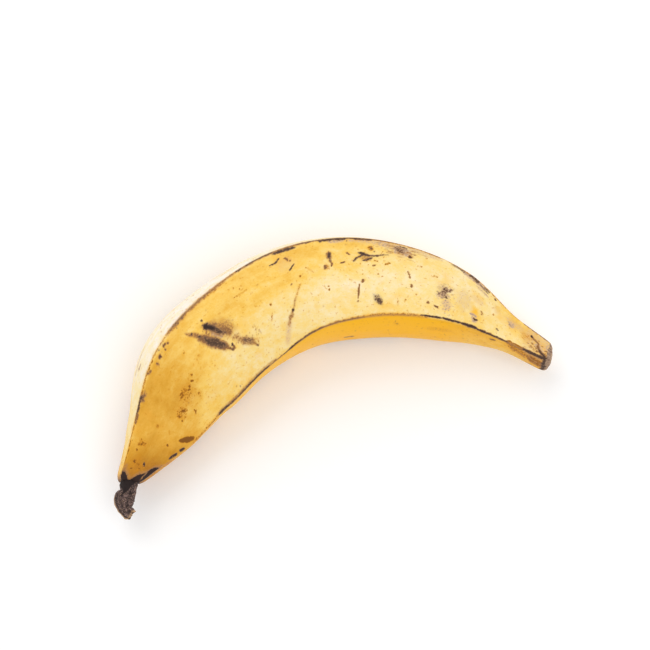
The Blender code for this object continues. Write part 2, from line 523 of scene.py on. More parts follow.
# Flecks about the bruises, and looser groups of them elsewhere.
CLUSTERS = (
    Cluster(Stain.BRUISE, 70, 0.65, 0.62, (164.6, 0.36), (4.6, 5.0), 2.6),
    Cluster(Stain.INK, 16, 0.60, 0.55, (166.6, 0.30), (4.0, 4.0), 1.2),
    Cluster(Stain.BRUISE, 24, 0.70, 0.80, (172.5, 0.27), (4.0, 2.4), 1.0),
    Cluster(Stain.INK, 14, 0.65, 0.80, (171.5, 0.33), (5.0, 2.0), 0.8),
    Cluster(Stain.BRUISE, 22, 0.70, 0.65, (152.4, 0.59), (3.4, 3.6), 0.8),
    Cluster(Stain.BRUISE, 16, 0.70, 0.70, (161.6, 0.54), (3.0, 3.0), 1.2),
    Cluster(Stain.BRUISE, 40, 0.65, 0.60, (77.6, 0.09), (8.0, 3.4), 4.0),
    Cluster(Stain.INK, 16, 0.60, 0.70, (79.0, 0.05), (6.0, 2.6), 2.2),
    Cluster(Stain.INK, 90, 0.60, 0.72, (56.2, 0.57), (6.0, 6.6)),
    Cluster(Stain.BRUISE, 40, 0.70, 0.85, (56.0, 0.59), (5.2, 6.0)),
    Cluster(Stain.CHAFE, 30, 0.80, 1.00, (53.8, 0.75), (4.6, 5.4), 0.8),
    Cluster(Stain.RUST_AND_SHADE, 70, 0.95, 0.58, (199.5, 0.50), (16.0, 13.0)),
    Cluster(Stain.RUST_AND_SHADE, 22, 0.80, 0.80, (201.6, 0.46), (8.0, 7.0)),
    Cluster(Stain.BRUISE, 18, 0.60, 0.75, (178.0, 0.93), (26.0, 1.6)),
    Cluster(Stain.RUST_AND_SHADE, 26, 0.75, 0.85, (235.4, 0.42), (9.0, 10.0)),
    Cluster(Stain.RUST_AND_SHADE, 18, 0.75, 0.80, (227.4, 0.24), (4.4, 3.8)),
    Cluster(Stain.BRUISE, 12, 0.80, 1.00, (188.0, 0.045), (3.6, 2.0), 0.4),
    Cluster(Stain.BRUISE, 8, 0.70, 1.00, (193.6, 0.05), (3.6, 1.2), 0.4),
    Cluster(Stain.RUST_AND_SHADE, 60, 0.70, 0.80, (232.0, 0.45), (16.0, 12.0)),
    Cluster(Stain.RUST_AND_SHADE, 40, 0.80, 0.70, (92.0, 0.24), (12.0, 12.0), 0.8),
    Cluster(Stain.RUST_AND_SHADE, 30, 0.70, 0.65, (74.0, 0.66), (18.0, 18.0)),
    Cluster(Stain.RUST_AND_SHADE, 26, 0.70, 0.65, (126.0, 0.30), (22.0, 16.0)),
    Cluster(Stain.INK, 20, 0.60, 0.75, (112.0, 0.01), (26.0, 2.4), 1.2),
    Cluster(Stain.INK, 16, 0.60, 0.70, (170.0, 0.00), (22.0, 2.0), 1.0),
    Cluster(Stain.BRUISE, 40, 0.70, 0.75, (6.0, 0.80), (8.0, 6.0), 1.6),
    Cluster(Stain.BRUISE, 26, 0.70, 0.70, (8.0, 1.20), (9.0, 5.0), 2.0),
    Cluster(Stain.RUST_AND_SHADE, 40, 0.80, 0.75, (60.0, -0.55), (60.0, 14.0), 0.6),
    Cluster(Stain.RUST_AND_SHADE, 46, 0.80, 0.75, (160.0, -0.55), (60.0, 14.0), 0.6),
)

# Spots between the bruises and the dried flower.
TIP_MARKS = (
    bruise(1.7, 1.0, (187.6, 0.03), soft=0.8, ragged=0.9),
    bruise(1.0, 1.0, (186.0, 0.045)),
    bruise(0.9, 0.95, (188.6, 0.06)),
    bruise(1.3, 1.0, (192.6, 0.045), (191.4, 0.055), soft=0.6, ragged=0.6),
    bruise(1.2, 0.6, (195.2, 0.055), (194.0, 0.055), ragged=0.8),
    rust_and_shade(1.3, 0.95, (190.8, 0.42), (190.2, 0.425)),
    rust_and_shade(1.8, 0.6, (191.0, 0.42), soft=0.9, ragged=0.6),
    rust_and_shade(2.6, 0.5, (195.4, 0.47), soft=1.8, ragged=1.3),
    rust_and_shade(1.0, 0.95, (196.0, 0.47)),
    rust_and_shade(5.0, 0.42, (203.0, 0.44), (197.4, 0.52), soft=3.0, ragged=2.0),
    rust_and_shade(2.2, 0.80, (202.4, 0.425), (200.0, 0.44), soft=1.4, ragged=1.6),
    rust_and_shade(1.4, 0.95, (197.2, 0.475), (196.4, 0.49), soft=0.8, ragged=1.2),
    rust_and_shade(1.2, 0.95, (193.6, 0.455), (192.8, 0.465), soft=0.7, ragged=0.8),
    rust_and_shade(1.3, 0.85, (204.4, 0.71), (203.6, 0.73), soft=0.8, ragged=1.0),
    rust_and_shade(1.2, 0.75, (196.4, 0.62), soft=0.8, ragged=1.0),
    rust_and_shade(4.6, 0.46, (209.8, 0.55), (205.4, 0.59), soft=2.6, ragged=1.8),
    rust_and_shade(1.6, 1.0, (207.0, 0.575), (206.4, 0.59), soft=0.6, ragged=0.9),
    rust_and_shade(1.1, 0.95, (209.4, 0.565), soft=0.6),
    rust_and_shade(0.9, 1.0, (210.4, 0.65)),
    rust_and_shade(3.0, 0.40, (197.0, 0.64), soft=2.0, ragged=1.3),
    rust_and_shade(9.0, 0.26, (204, 0.54), (195, 0.49), soft=5.0, ragged=1.2),
    rust_and_shade(0.9, 0.6, (195.5, 0.75)),
    rust_and_shade(0.9, 0.8, (185, 0.22)),
    rust_and_shade(1.3, 0.4, (181.6, 0.36)),
    rust_and_shade(1.5, 0.5, (217.6, 0.34), soft=0.8),
    rust_and_shade(2.5, 1.0, (218.1, 0.828), (213.9, 0.968), soft=0.6, ragged=0.2, taper=1.6),
    rust_and_shade(1.3, 1.0, (222.5, 0.74)),
    rust_and_shade(3.2, 0.60, (228.8, 0.21), (226.0, 0.28), soft=1.8, ragged=1.6),
    rust_and_shade(1.0, 1.0, (227.8, 0.25), ragged=0.6),
    rust_and_shade(1.0, 1.0, (230.8, 0.19)),
    rust_and_shade(1.3, 1.0, (235.3, 0.28), ragged=0.6),
    rust_and_shade(2.4, 0.60, (236.3, 0.39), soft=1.4, ragged=1.2),
    rust_and_shade(1.0, 0.95, (238.8, 0.28)),
    ink(1.9, 1.0, (235.3, 0.61), (235.1, 0.64), soft=0.4),
    rust_and_shade(1.2, 0.9, (237.8, 0.60), ragged=0.6),
    rust_and_shade(6.0, 0.35, (233.0, 0.30), (239.0, 0.45), soft=4.0, ragged=1.5),
    ink(0.9, 0.7, (177, 0.93)),
    bruise(0.9, 0.7, (178.5, 0.90)),
    bruise(0.7, 0.4, (201, -0.40), (190, -0.40), soft=0.8),
    chafe(2.6, 0.9, (198.6, -0.26), (197.2, -0.29), soft=1.2, ragged=0.7),
    rust_and_shade(1.0, 1.0, (235.3, -0.38)),
    rust_and_shade(0.8, 1.0, (237.3, -0.29)),
    # Painted shade: the thin orange-brown line along the upper ridge, on to the tip.
    rust_and_shade(0.9, 0.55, (240, 0.0), (184, 0.0), ragged=0.5),
)

# Scratches and spots where the fruit bends.
CREST_MARKS = (
    ink(0.8, 0.9, (133, 0.108), (131.2, 0.12), (129.8, 0.112), (128.4, 0.088)),
    bruise(0.7, 0.95, (126.4, 0.100), (125.2, 0.145)),
    bruise(0.8, 0.8, (124.3, 0.150)),
    ink(0.8, 0.85, (126, 0.265), (123.2, 0.205)),
    chafe(7.0, 0.17, (129.5, 0.15), (124.0, 0.20), soft=4.0, ragged=1.0),
    rust_and_shade(0.7, 0.5, (118.9, 0.285), (115.8, 0.375)),
    rust_and_shade(0.8, 0.5, (145.8, 0.205), (153.5, 0.184)),
    rust_and_shade(0.9, 1.0, (148.6, 0.152)),
    rust_and_shade(0.9, 0.6, (150.6, 0.11)),
    rust_and_shade(0.9, 0.9, (139.7, 0.49)),
    rust_and_shade(1.2, 0.8, (122.3, 0.37)),
    bruise(1.0, 0.7, (127.2, 0.41), (126.8, 0.43)),
    rust_and_shade(0.9, 0.75, (110, 0.59)),
    rust_and_shade(1.0, 0.9, (110, 0.635)),
    rust_and_shade(1.1, 0.38, (123, 0.45), (127.5, 0.60), soft=0.9),
    bruise(1.0, 0.42, (127.0, 0.58), (130.5, 0.685), soft=0.9),
    ink(1.6, 0.8, (130.5, 0.685), soft=0.7),
    bruise(1.5, 0.55, (130.5, 0.685), (133, 0.74), (135.6, 0.80), soft=1.2, ragged=0.9),
    chafe(3.2, 0.34, (134, 0.757), (140.6, 0.95), soft=2.4),
    rust_and_shade(0.9, 0.45, (140.5, 0.57), (143, 0.64)),
    ink(1.9, 0.78, (108.5, 0.170), (108.1, 0.245), end_width=1.3, soft=0.9, ragged=0.6, taper=14.0),
    bruise(2.6, 0.5, (108.7, 0.155), (108.0, 0.26), soft=0.9, ragged=0.6),
    bruise(0.8, 0.90, (108.4, 0.27), (107.6, 0.345), ragged=0.6),
    ink(0.7, 0.7, (108.2, 0.24), (107.8, 0.288)),
    bruise(1.5, 0.75, (110.6, 0.32), (110.3, 0.37), soft=0.7),
    rust_and_shade(2.6, 0.5, (110, 0.345), soft=1.2),
    bruise(1.0, 0.95, (100.4, 0.19), (100.0, 0.215), ragged=0.6),
    bruise(0.7, 0.95, (103.8, 0.32), (101.9, 0.312)),
    ink(0.9, 0.72, (98.4, 0.31), (96.9, 0.265), (94.6, 0.220), soft=0.7),
    ink(1.7, 0.74, (95.9, 0.185), (94.0, 0.215), (91.0, 0.225), end_width=1.2, soft=0.9),
    ink(2.1, 0.88, (95.6, 0.188), (93.0, 0.215), end_width=1.2, soft=0.8),
    ink(1.1, 0.68, (91.0, 0.225), (88.6, 0.225), (85.2, 0.195), (83.4, 0.19), end_width=0.5, soft=0.9),
    ink(1.3, 0.74, (94.0, 0.30), (91.6, 0.275), (90.0, 0.25), end_width=0.9, soft=0.7),
    bruise(4.0, 0.40, (95.0, 0.25), (90.5, 0.25), soft=1.8, ragged=1.0),
    bruise(1.9, 0.95, (91.2, 0.125), (90.4, 0.125)),
    rust_and_shade(2.8, 0.6, (91.0, 0.125), soft=1.0),
    ink(0.9, 0.6, (89.4, 0.165)),
    bruise(0.8, 0.75, (90.0, 0.375), (88.4, 0.355)),
    rust_and_shade(0.9, 0.7, (84.6, 0.345), (82, 0.306)),
)

# Rubs, scratches and spots from the bend to the cut.
STEM_HALF_MARKS = (
    chafe(5.0, 0.66, (81.4, 0.08), (74.6, 0.11), soft=3.0, ragged=1.0),
    ink(2.2, 0.42, (81.0, 0.07), (76.6, 0.10), soft=1.8, ragged=1.2),
    ink(0.7, 0.7, (80.4, 0.10), (77.2, 0.125), soft=0.5),
    ink(0.7, 0.7, (79.4, 0.03), (75.6, 0.05), soft=0.5),
    bruise(1.8, 0.95, (74.6, 0.13), (74.0, 0.17)),
    chafe(3.6, 0.38, (100, 0.03), (62, 0.03), soft=2.6, ragged=0.9),
    chafe(3.0, 0.5, (88, 0.05), (83, 0.05), soft=1.2),
    rust_and_shade(0.8, 0.45, (67.7, 0.093), (66.9, 0.10)),
    bruise(0.8, 0.65, (74.1, 0.387), (72.6, 0.50)),
    bruise(1.3, 0.75, (71.7, 0.583), (71.2, 0.635)),
    ink(0.6, 0.4, (73.4, 0.655)),
    rust_and_shade(0.8, 0.7, (87.2, 0.49)),
    rust_and_shade(0.8, 0.7, (85.2, 0.525)),
    rust_and_shade(0.8, 0.6, (79, 0.54)),
    rust_and_shade(0.9, 0.6, (69, 0.26)),
    rust_and_shade(1.0, 0.7, (62.6, 0.34)),
    rust_and_shade(0.9, 0.6, (61.4, 0.34)),
    rust_and_shade(1.3, 0.55, (73, 0.82)),
    rust_and_shade(1.0, 0.55, (68.5, 0.73)),
    rust_and_shade(0.8, 0.35, (66, 0.78)),
    bruise(1.2, 0.80, (93.8, 0.562), (94.6, 0.61), soft=0.7),
    bruise(0.7, 0.80, (95.7, 0.615), (96.4, 0.80), soft=0.4),
    bruise(1.0, 0.8, (96.3, 0.83)),
    ink(4.0, 0.50, (88.2, 0.785), (84.2, 0.885), end_width=3.0, soft=2.0, taper=3.0),
    ink(3.0, 0.80, (87.0, 0.815), (84.6, 0.880), end_width=2.4, soft=1.4, taper=3.0),
    gold(3.0, 0.16, (91, 0.90), (78, 0.91), soft=2.4),
    rust_and_shade(0.8, 0.4, (76.5, 0.83), (76.5, 0.9)),
    bruise(1.3, 0.8, (62.1, 0.805), soft=0.5),
    bruise(1.0, 0.95, (59.3, 0.82), (57, 0.85)),
    chafe(9.0, 0.66, (57.0, 0.54), (55.2, 0.61), soft=3.6, ragged=1.4),
    ink(8.4, 0.52, (56.8, 0.54), (55.6, 0.60), soft=4.0, ragged=1.8),
    ink(1.3, 0.8, (54.9, 0.665), (54.6, 0.64)),
    ink(1.2, 0.8, (57.0, 0.52), (56.2, 0.53)),
    ink(0.9, 0.7, (53.8, 0.49), (52.6, 0.475)),
    chafe(4.0, 0.48, (53.6, 0.755), soft=2.4, ragged=1.0),
    chafe(9.0, 0.27, (50.0, 0.50), (43.5, 0.62), soft=5.0, ragged=1.0),
    chafe(17.0, 0.30, (1.0, 0.40), (14.0, 0.36), soft=8.0, ragged=1.0),
    ink(0.4, 0.25, (46.3, 0.375)),
    gold(3.8, 0.80, (39.8, 0.69), soft=2.4, ragged=0.6),
    bruise(0.8, 0.5, (37.4, 0.59), (36.4, 0.63), (36.8, 0.68)),
    chafe(1.2, 0.7, (41.6, 0.755), (38.0, 0.76), soft=0.8),
    chafe(2.4, 0.6, (39.8, 0.84), (37.4, 0.84), soft=0.9),
    ink(1.0, 0.85, (39.2, 0.83), (37.0, 0.83)),
    chafe(2.6, 0.22, (44, 0.39), (38, 0.40), soft=1.6),
    rust_and_shade(0.8, 0.7, (31.8, 0.46)),
    ink(0.8, 0.6, (27.9, 0.80), (26.5, 0.80)),
    chafe(3.2, 0.56, (23.8, 0.31), (21.0, 0.36), soft=0.9),
    ink(0.6, 0.35, (24.6, 0.28), (23.4, 0.36), (22.0, 0.40), soft=0.6),
    chafe(4.0, 0.28, (26, 0.21), (16, 0.26), soft=2.6, ragged=1.0),
    rust_and_shade(4.0, 0.22, (33, 0.18), (30, 0.26), soft=2.0),
    ink(1.0, 0.9, (12.2, 0.24), (10.8, 0.29)),
    bruise(1.5, 0.7, (11.8, 0.26), (9.4, 0.33), (7.6, 0.42), (6.8, 0.50), end_width=0.9, soft=0.9),
    ink(0.7, 0.6, (10.4, 0.30), (8.0, 0.40)),
    bruise(0.9, 0.8, (6.8, 0.50), (7.2, 0.60), (6.2, 0.70), end_width=1.4),
    bruise(1.6, 0.85, (6.2, 0.70), (4.8, 0.81), (2.1, 0.91), end_width=2.4, soft=0.6),
    ink(1.1, 0.85, (6.4, 0.72), (4.4, 0.84), (2.0, 0.92)),
    chafe(3.4, 0.6, (8.4, 0.44), (4.4, 0.84), soft=1.4, ragged=0.7),
    chafe(2.4, 0.45, (3.2, 0.10), (3.0, 0.60), soft=1.2, ragged=0.7),
    gold(6.0, 0.5, (7.0, 0.62), (2.0, 0.66), soft=2.0),
    rust_and_shade(4.0, 0.28, (16, 0.5), (11, 0.36), soft=2.0, ragged=1.0),
)

# Marks on the side inside the bend, and orange-brown painted shade along its low edge.
INNER_FACE_MARKS = (
    # Painted shade: orange-brown along the low edge of the inner face, near the stem.
    rust_and_shade(6.5, 0.8, (1.0, 1.42), (9.0, 1.35), soft=2.5, ragged=0.6),
    rust_and_shade(4.5, 0.55, (9.0, 1.30), (19, 1.18), soft=2.5, ragged=0.6),
    bruise(1.0, 0.85, (28.0, 1.20), (25.5, 1.15)),
    rust_and_shade(1.1, 0.6, (76, 1.12)),
    rust_and_shade(3.0, 0.35, (75.5, 1.2), soft=1.2),
    rust_and_shade(2.6, 0.55, (226, 1.16), (240, 1.22), soft=1.2),
    # Painted shade: a soft orange-brown band along the low edge of the inner face.
    rust_and_shade(3.0, 0.30, (60, 1.30), (46, 1.26), soft=2.4, ragged=1.0),
    rust_and_shade(1.2, 0.5, (120, 1.35)),
    rust_and_shade(0.8, 0.6, (133, 1.42), (140, 1.50)),
    rust_and_shade(1.4, 0.5, (166, 1.32), (170, 1.36)),
    bruise(2.4, 0.6, (98, 1.60), (104, 1.58), soft=0.9),
)

# Marks on the outer side and underneath.
BACK_MARKS = (
    ink(0.9, 0.8, (6, -1.0), (22, -1.0)),
    rust_and_shade(1.3, 0.7, (22, -1.0), (52, -1.0), soft=0.5),
    ink(0.8, 0.7, (58, -1.0), (81, -1.0)),
    ink(1.2, 0.8, (98, -1.0), (126, -1.0), end_width=0.6),
    rust_and_shade(1.0, 0.6, (126, -1.0), (150, -1.0)),
    ink(1.1, 0.85, (152, -1.0), (190, -1.0), end_width=0.7),
    ink(0.9, 0.7, (201, -1.0), (226, -1.0)),
    bruise(2.6, 0.7, (118, -0.62), (112, -0.58), (109, -0.50), soft=1.0),
    bruise(2.0, 0.6, (152, -0.52), (148, -0.44), soft=0.9),
    ink(0.6, 0.7, (134, -0.70), (141, -0.66), (144, -0.60)),
    ink(0.5, 0.6, (88, -0.52), (84, -0.44)),
    rust_and_shade(1.4, 0.6, (66, -0.55)),
    rust_and_shade(1.2, 0.6, (176, -0.62)),
    chafe(4.0, 0.6, (97, -0.60), (91, -0.62), soft=1.6, ragged=1.0),
    chafe(3.5, 0.5, (186, -0.75), (180, -0.72), soft=1.5, ragged=1.0),
    chafe(4.0, 0.40, (88, -0.20), (76, -0.22), soft=2.0, ragged=1.0),
    ink(1.0, 0.8, (4, 2.0), (30, 2.0)),
    rust_and_shade(1.1, 0.6, (34, 2.0), (70, 2.0)),
    ink(0.8, 0.75, (72, 2.0), (118, 2.0)),
    ink(1.1, 0.8, (140, 2.0), (188, 2.0)),
    ink(0.8, 0.7, (200, 2.0), (228, 2.0)),
)

MARKS = (UPPER_RIDGE_MARKS + INNER_RIDGE_MARKS + BRUISES + TIP_MARKS + CREST_MARKS
         + STEM_HALF_MARKS + INNER_FACE_MARKS + BACK_MARKS)


@dataclass(frozen=True)
class ToneRing:
    """How pale the skin is round one section, from 0 for olive brown to 1 for pale cream.

    The tone is partly the skin's own colour and partly painted light. The pale cream of
    the broad face and the outer face, above 1 on the outer face, is partly painted highlight
    where the light falls, and the lower tones of the inner side and towards the tip are
    partly riper skin and partly painted shade. The last number is how much of the inner
    face's deep yellow shows, which is partly the skin's own colour and partly painted shade.
    """

    along: float
    outer: float
    by_upper_ridge: float
    upper_middle: float
    lower_middle: float
    by_inner_ridge: float
    inner: float
    depth: float


# The turns at which the numbers of a tone ring hold.
OUTER_TURNS = (0.0, 0.35, 0.60, 0.97)
BROAD_TURNS = (1.03, 1.38, 1.62, 1.96)
INNER_TURNS = (2.03, 3.0, 4.0)

# These tones are partly painted light: the pale broad and outer faces are partly painted highlight, and
# the lower tones of the inner side and the tip partly painted shade.
TONES = (
    ToneRing(2.0, 0.62, 0.66, 0.66, 0.66, 0.62, 0.24, 0.10),
    ToneRing(12.0, 0.72, 0.68, 0.62, 0.72, 0.86, 0.36, 0.15),
    ToneRing(24.0, 0.84, 0.66, 0.70, 0.84, 0.88, 0.48, 0.30),
    ToneRing(36.0, 0.92, 0.90, 0.91, 0.84, 0.80, 0.44, 0.45),
    ToneRing(52.0, 0.98, 0.94, 0.96, 0.86, 0.82, 0.40, 1.00),
    ToneRing(74.0, 0.90, 0.80, 0.94, 0.93, 0.83, 0.46, 1.00),
    ToneRing(86.0, 0.88, 0.66, 0.93, 1.00, 0.85, 0.50, 1.00),
    ToneRing(98.0, 0.90, 0.62, 0.75, 0.97, 0.89, 0.56, 1.00),
    ToneRing(110.0, 1.06, 0.72, 0.81, 1.02, 0.90, 0.58, 0.88),
    ToneRing(122.0, 1.16, 0.69, 0.69, 0.90, 0.90, 0.60, 0.80),
    ToneRing(146.0, 1.20, 0.66, 0.69, 0.91, 0.83, 0.64, 0.65),
    ToneRing(170.0, 1.21, 0.64, 0.67, 0.86, 0.77, 0.66, 0.50),
    ToneRing(184.0, 1.21, 0.64, 0.60, 0.74, 0.77, 0.66, 0.45),
    ToneRing(196.0, 1.17, 0.51, 0.48, 0.61, 0.77, 0.64, 0.20),
    ToneRing(208.0, 1.03, 0.43, 0.42, 0.61, 0.64, 0.58, 0.10),
    ToneRing(218.0, 0.95, 0.48, 0.49, 0.60, 0.38, 0.50, 0.00),
    ToneRing(228.0, 0.88, 0.60, 0.36, 0.29, 0.25, 0.36, 0.00),
    ToneRing(236.0, 0.74, 0.34, 0.08, 0.05, 0.02, 0.20, 0.00),
    ToneRing(243.0, 0.56, 0.02, 0.04, 0.03, 0.00, 0.12, 0.00),
)

# Where the black collar of the dried flower starts: shares across, as in a Mark, and
# distances from the stem end.
COLLAR_EDGE = (
    (-0.50, 243.5), (-0.08, 243.4), (0.00, 240.2), (0.10, 239.8), (0.20, 241.6),
    (0.32, 243.4), (0.45, 244.0), (0.58, 242.6), (0.72, 240.4), (0.85, 237.6),
    (0.89, 235.0), (0.96, 232.6), (1.02, 232.4), (1.10, 236.5), (1.25, 242.0),
    (2.00, 242.5), (3.00, 243.0),
)


@dataclass
class MarkPainter:
    """Lays the marks on a skin as how much of each stain every point carries.

    Lengths are in millimetres. The rim's depth and strength each hold an amount and how
    much the inner side adds to it.
    """

    skin: Skin
    trimmed_stem: float = 1.4
    longest_leg: float = 7.0
    seed: int = 11
    stains: dict[Stain, Array] = field(init=False)
    wobble: tuple[Array, ...] = field(init=False)
    source: np.random.Generator = field(init=False)

    wobble_size: float = 2.2
    wobble_fineness: float = 0.4
    wobble_fine_share: float = 0.7
    wobble_seeds: tuple[Pair, Pair] = ((3.1, 5.3), (17.7, 12.9))

    cluster_spread: float = 0.5
    cluster_sizes: Pair = (0.6, 1.6)
    cluster_fades: Pair = (0.5, 1.0)
    cluster_falloff: float = 0.5
    cluster_soft: float = 0.4
    cluster_ragged: float = 0.25

    flecks: int = 700
    fleck_margins: Pair = (4.0, 6.0)
    fleck_across: Pair = (-1.0, 3.0)
    fleck_sizes: Pair = (0.4, 0.9)
    fleck_faintest: float = 0.2
    fleck_strongest: float = 0.7
    broad_fleck_strongest: float = 0.45
    broad_fleck_share: float = 0.45
    rust_share: float = 0.8

    # Where the inner face's deep yellow lies, partly painted shade, and how it fades underneath.
    inner_yellow: Ramp = Ramp(1.98, 2.05)
    underside: Ramp = Ramp(2.7, 3.1)
    underside_loss: float = 0.6

    collar_wobble: float = 0.9
    collar_edge: Ramp = Ramp(-0.3, 0.5)
    collar_split: Mark = chafe(0.5, 0.62, (235.6, 0.88), (238.8, 0.92), (242.2, 0.985))
    collar_brown: Ramp = Ramp(-4.0, 0.2)
    collar_brown_strength: float = 0.62
    collar_brown_power: float = 1.5

    rim_side: tuple[Ramp, Ramp] = (Ramp(1.70, 2.0), Ramp(2.9, 3.3))
    rim_depth: Pair = (0.9, 1.5)
    rim_strength: Pair = (0.30, 0.55)
    rim_wobble: float = 0.5
    rim_fade: Ramp = Ramp(0.0, 0.8)

    # Painted shade: how much darker the skin is made underneath and towards the outer ridge.
    under_shade: float = 0.85
    outer_shade: float = 0.8
    drift: Grain = Grain((28.0, 11.0, 11.0), 5.5)
    drift_height: float = 0.06
    streak: Grain = Grain((45.0, 2.6, 2.6), 9.2)
    streak_height: float = 0.02

    def __post_init__(self) -> None:
        """Prepare clean stains and the wobble that makes edges ragged."""
        self.source = np.random.default_rng(self.seed)
        self.stains = {stain: np.zeros(self.skin.radius.shape) for stain in Stain}
        grown = self.skin.grown()
        coarse = (self.wobble_size,) * 3
        fine = (self.wobble_fineness * self.wobble_size,) * 3
        self.wobble = tuple(
            Grain(coarse, seed).at(grown) + self.wobble_fine_share * Grain(fine, fine_seed).at(grown)
            for seed, fine_seed in self.wobble_seeds
        )

    def spot(self, place: Spot) -> Spot:
        """Return a place as millimetres along the fruit and round its section."""
        along = place[0] - self.trimmed_stem
        return along, self.skin.arc_at(along, place[1] + 1.0)

    def paint(self, mark: Mark) -> None:
        """Lay one mark along its path, bent with the skin, and at both edges if it is on the seam.

        Args:
            mark: the mark.
        """
        along, across = np.array(mark.path).T
        legs = len(along) - 1
        parts = max(1, math.ceil(float(np.ptp(along)) / self.longest_leg))
        steps = np.linspace(0, legs, legs * parts + 1)
        corners = np.arange(legs + 1)
        path_along = np.interp(steps, corners, along)
        path_across = np.interp(steps, corners, across)
        for side in (0, FACES) if across.max() <= SEAM else (0,):
            self.lay(mark, [self.spot(place) for place in zip(path_along, path_across + side)])

    def sprinkle(self, cluster: Cluster) -> None:
        """Lay the flecks of a cluster, the outer ones fainter.

        Args:
            cluster: the flecks to lay.
        """
        along, arc = self.spot(cluster.place)
        for _ in range(cluster.count):
            off = self.source.normal(0.0, self.cluster_spread, 2)
            start = (along + cluster.spread[0] * off[0], arc + cluster.spread[1] * off[1])
            end = (start[0] + cluster.streak * self.source.random(), start[1])
            width = cluster.fleck * self.source.uniform(*self.cluster_sizes)
            fade = self.source.uniform(*self.cluster_fades)
            fade = fade / (1.0 + self.cluster_falloff * float(off @ off))
            mark = Mark(cluster.stain, width, cluster.strength * fade, (start, end),
                        soft=self.cluster_soft, ragged=self.cluster_ragged)
            self.lay(mark, [start, end])

    def strengthen(self, stain: Stain, amount: Array, rows: slice = slice(None)) -> None:
        """Add to a stain, keeping the stronger amount where two meet."""
        self.stains[stain][rows] = np.maximum(self.stains[stain][rows], amount)

    def lay(self, mark: Mark, spots: Sequence[Spot]) -> None:
        """Lay one mark whose path is given in millimetres along and round the fruit."""
        rows, cover = self.cover(mark, spots)
        self.strengthen(mark.stain, cover * mark.strength, rows)

    def cover(self, mark: Mark, spots: Sequence[Spot]) -> tuple[slice, Array]:
        """Work out where one mark lies.

        Args:
            mark: the mark.
            spots: its path, in millimetres along the fruit and round the section.

        Returns:
            The rows that it reaches, and how much of it each of their points carries.
        """
        skin = self.skin
        reach = mark.width + mark.soft + 2 * mark.ragged + 1.0
        low = np.searchsorted(skin.at, min(spot[0] for spot in spots) - reach)
        high = np.searchsorted(skin.at, max(spot[0] for spot in spots) + reach)
        rows = slice(int(low), int(high))
        along = skin.at[rows, None] + mark.ragged * self.wobble[0][rows]
        arc = skin.arc[rows] + mark.ragged * self.wobble[1][rows]
        cover = np.zeros(along.shape)
        edge = Ramp(0.0, mark.soft)
        legs = list(zip(spots[:-1], spots[1:])) or [(spots[0], spots[0])]
        for index, (start, end) in enumerate(legs):
            step = (end[0] - start[0], end[1] - start[1])
            length = max(step[0] ** 2 + step[1] ** 2, TINY)
            share = ((along - start[0]) * step[0] + (arc - start[1]) * step[1]) / length
            share = np.clip(share, 0.0, 1.0)
            away = np.hypot(along - start[0] - share * step[0], arc - start[1] - share * step[1])
            half = mark.half_width((index + share) / len(legs))
            cover = np.maximum(cover, edge.at(half + mark.soft / 2 - away))
        return rows, cover

    def scatter(self) -> None:
        """Lay small flecks all over, fewer and fainter ones on the broad face."""
        source = self.source
        first, last = self.fleck_margins
        length = float(self.skin.at[-1])
        for _ in range(self.flecks):
            along, across = source.uniform(first, length - last), source.uniform(*self.fleck_across)
            width, chance = source.uniform(*self.fleck_sizes), source.random()
            broad = 0.0 < across < 1.0
            if broad and chance > self.broad_fleck_share:
                continue
            stain = Stain.RUST_AND_SHADE if source.random() < self.rust_share else Stain.BRUISE
            strongest = self.broad_fleck_strongest if broad else self.fleck_strongest
            strength = source.uniform(self.fleck_faintest, strongest)
            self.paint(Mark(stain, width, strength, ((along, across),)))

    def collar(self) -> None:
        """Blacken the skin round the dried flower, with its points up the ridges."""
        across, edge = np.array(COLLAR_EDGE).T
        limit = np.interp(self.skin.turns - 1.0, across, edge - self.trimmed_stem)
        over = self.skin.at[:, None] + self.collar_wobble * self.wobble[0] - limit[None, :]
        self.strengthen(Stain.INK, self.collar_edge.at(over))
        split = self.collar_split
        rows, cover = self.cover(split, [self.spot(place) for place in split.path])
        self.stains[Stain.INK][rows] *= 1.0 - split.strength * cover
        brown = self.collar_brown.at(over) ** self.collar_brown_power
        self.strengthen(Stain.BRUISE, self.collar_brown_strength * brown)

    def rim(self) -> None:
        """Darken the skin along the cut, most on the inner side."""
        start, end = self.rim_side
        inner = (start.at(self.skin.turns) * (1 - end.at(self.skin.turns)))[None, :]
        depth = self.rim_depth[0] + self.rim_depth[1] * inner
        near = self.rim_fade.at(depth + self.rim_wobble * self.wobble[0] - self.skin.at[:, None])
        self.strengthen(Stain.INK, near * (self.rim_strength[0] + self.rim_strength[1] * inner))

    def tone_columns(self) -> Array:
        """Read the tone rings along the whole skin.

        Returns:
            A row for each number of a ring but its place, with one value for each section.
        """
        rings = np.array([(ring.outer, ring.by_upper_ridge, ring.upper_middle, ring.lower_middle,
                           ring.by_inner_ridge, ring.inner, ring.depth) for ring in TONES])
        along = np.array([ring.along for ring in TONES]) - self.trimmed_stem
        return np.array([np.interp(self.skin.at, along, column) for column in rings.T])

    def pallor_and_painted_light(self) -> Array:
        """Work out the skin's tone from the rings, with a slow drift and faint streaks.

        The tone holds the rings' painted highlight, and painted shade underneath and towards
        the outer ridge.

        Returns:
            How pale each point is.
        """
        outer, upper, high, low, lower, inner, _ = self.tone_columns()
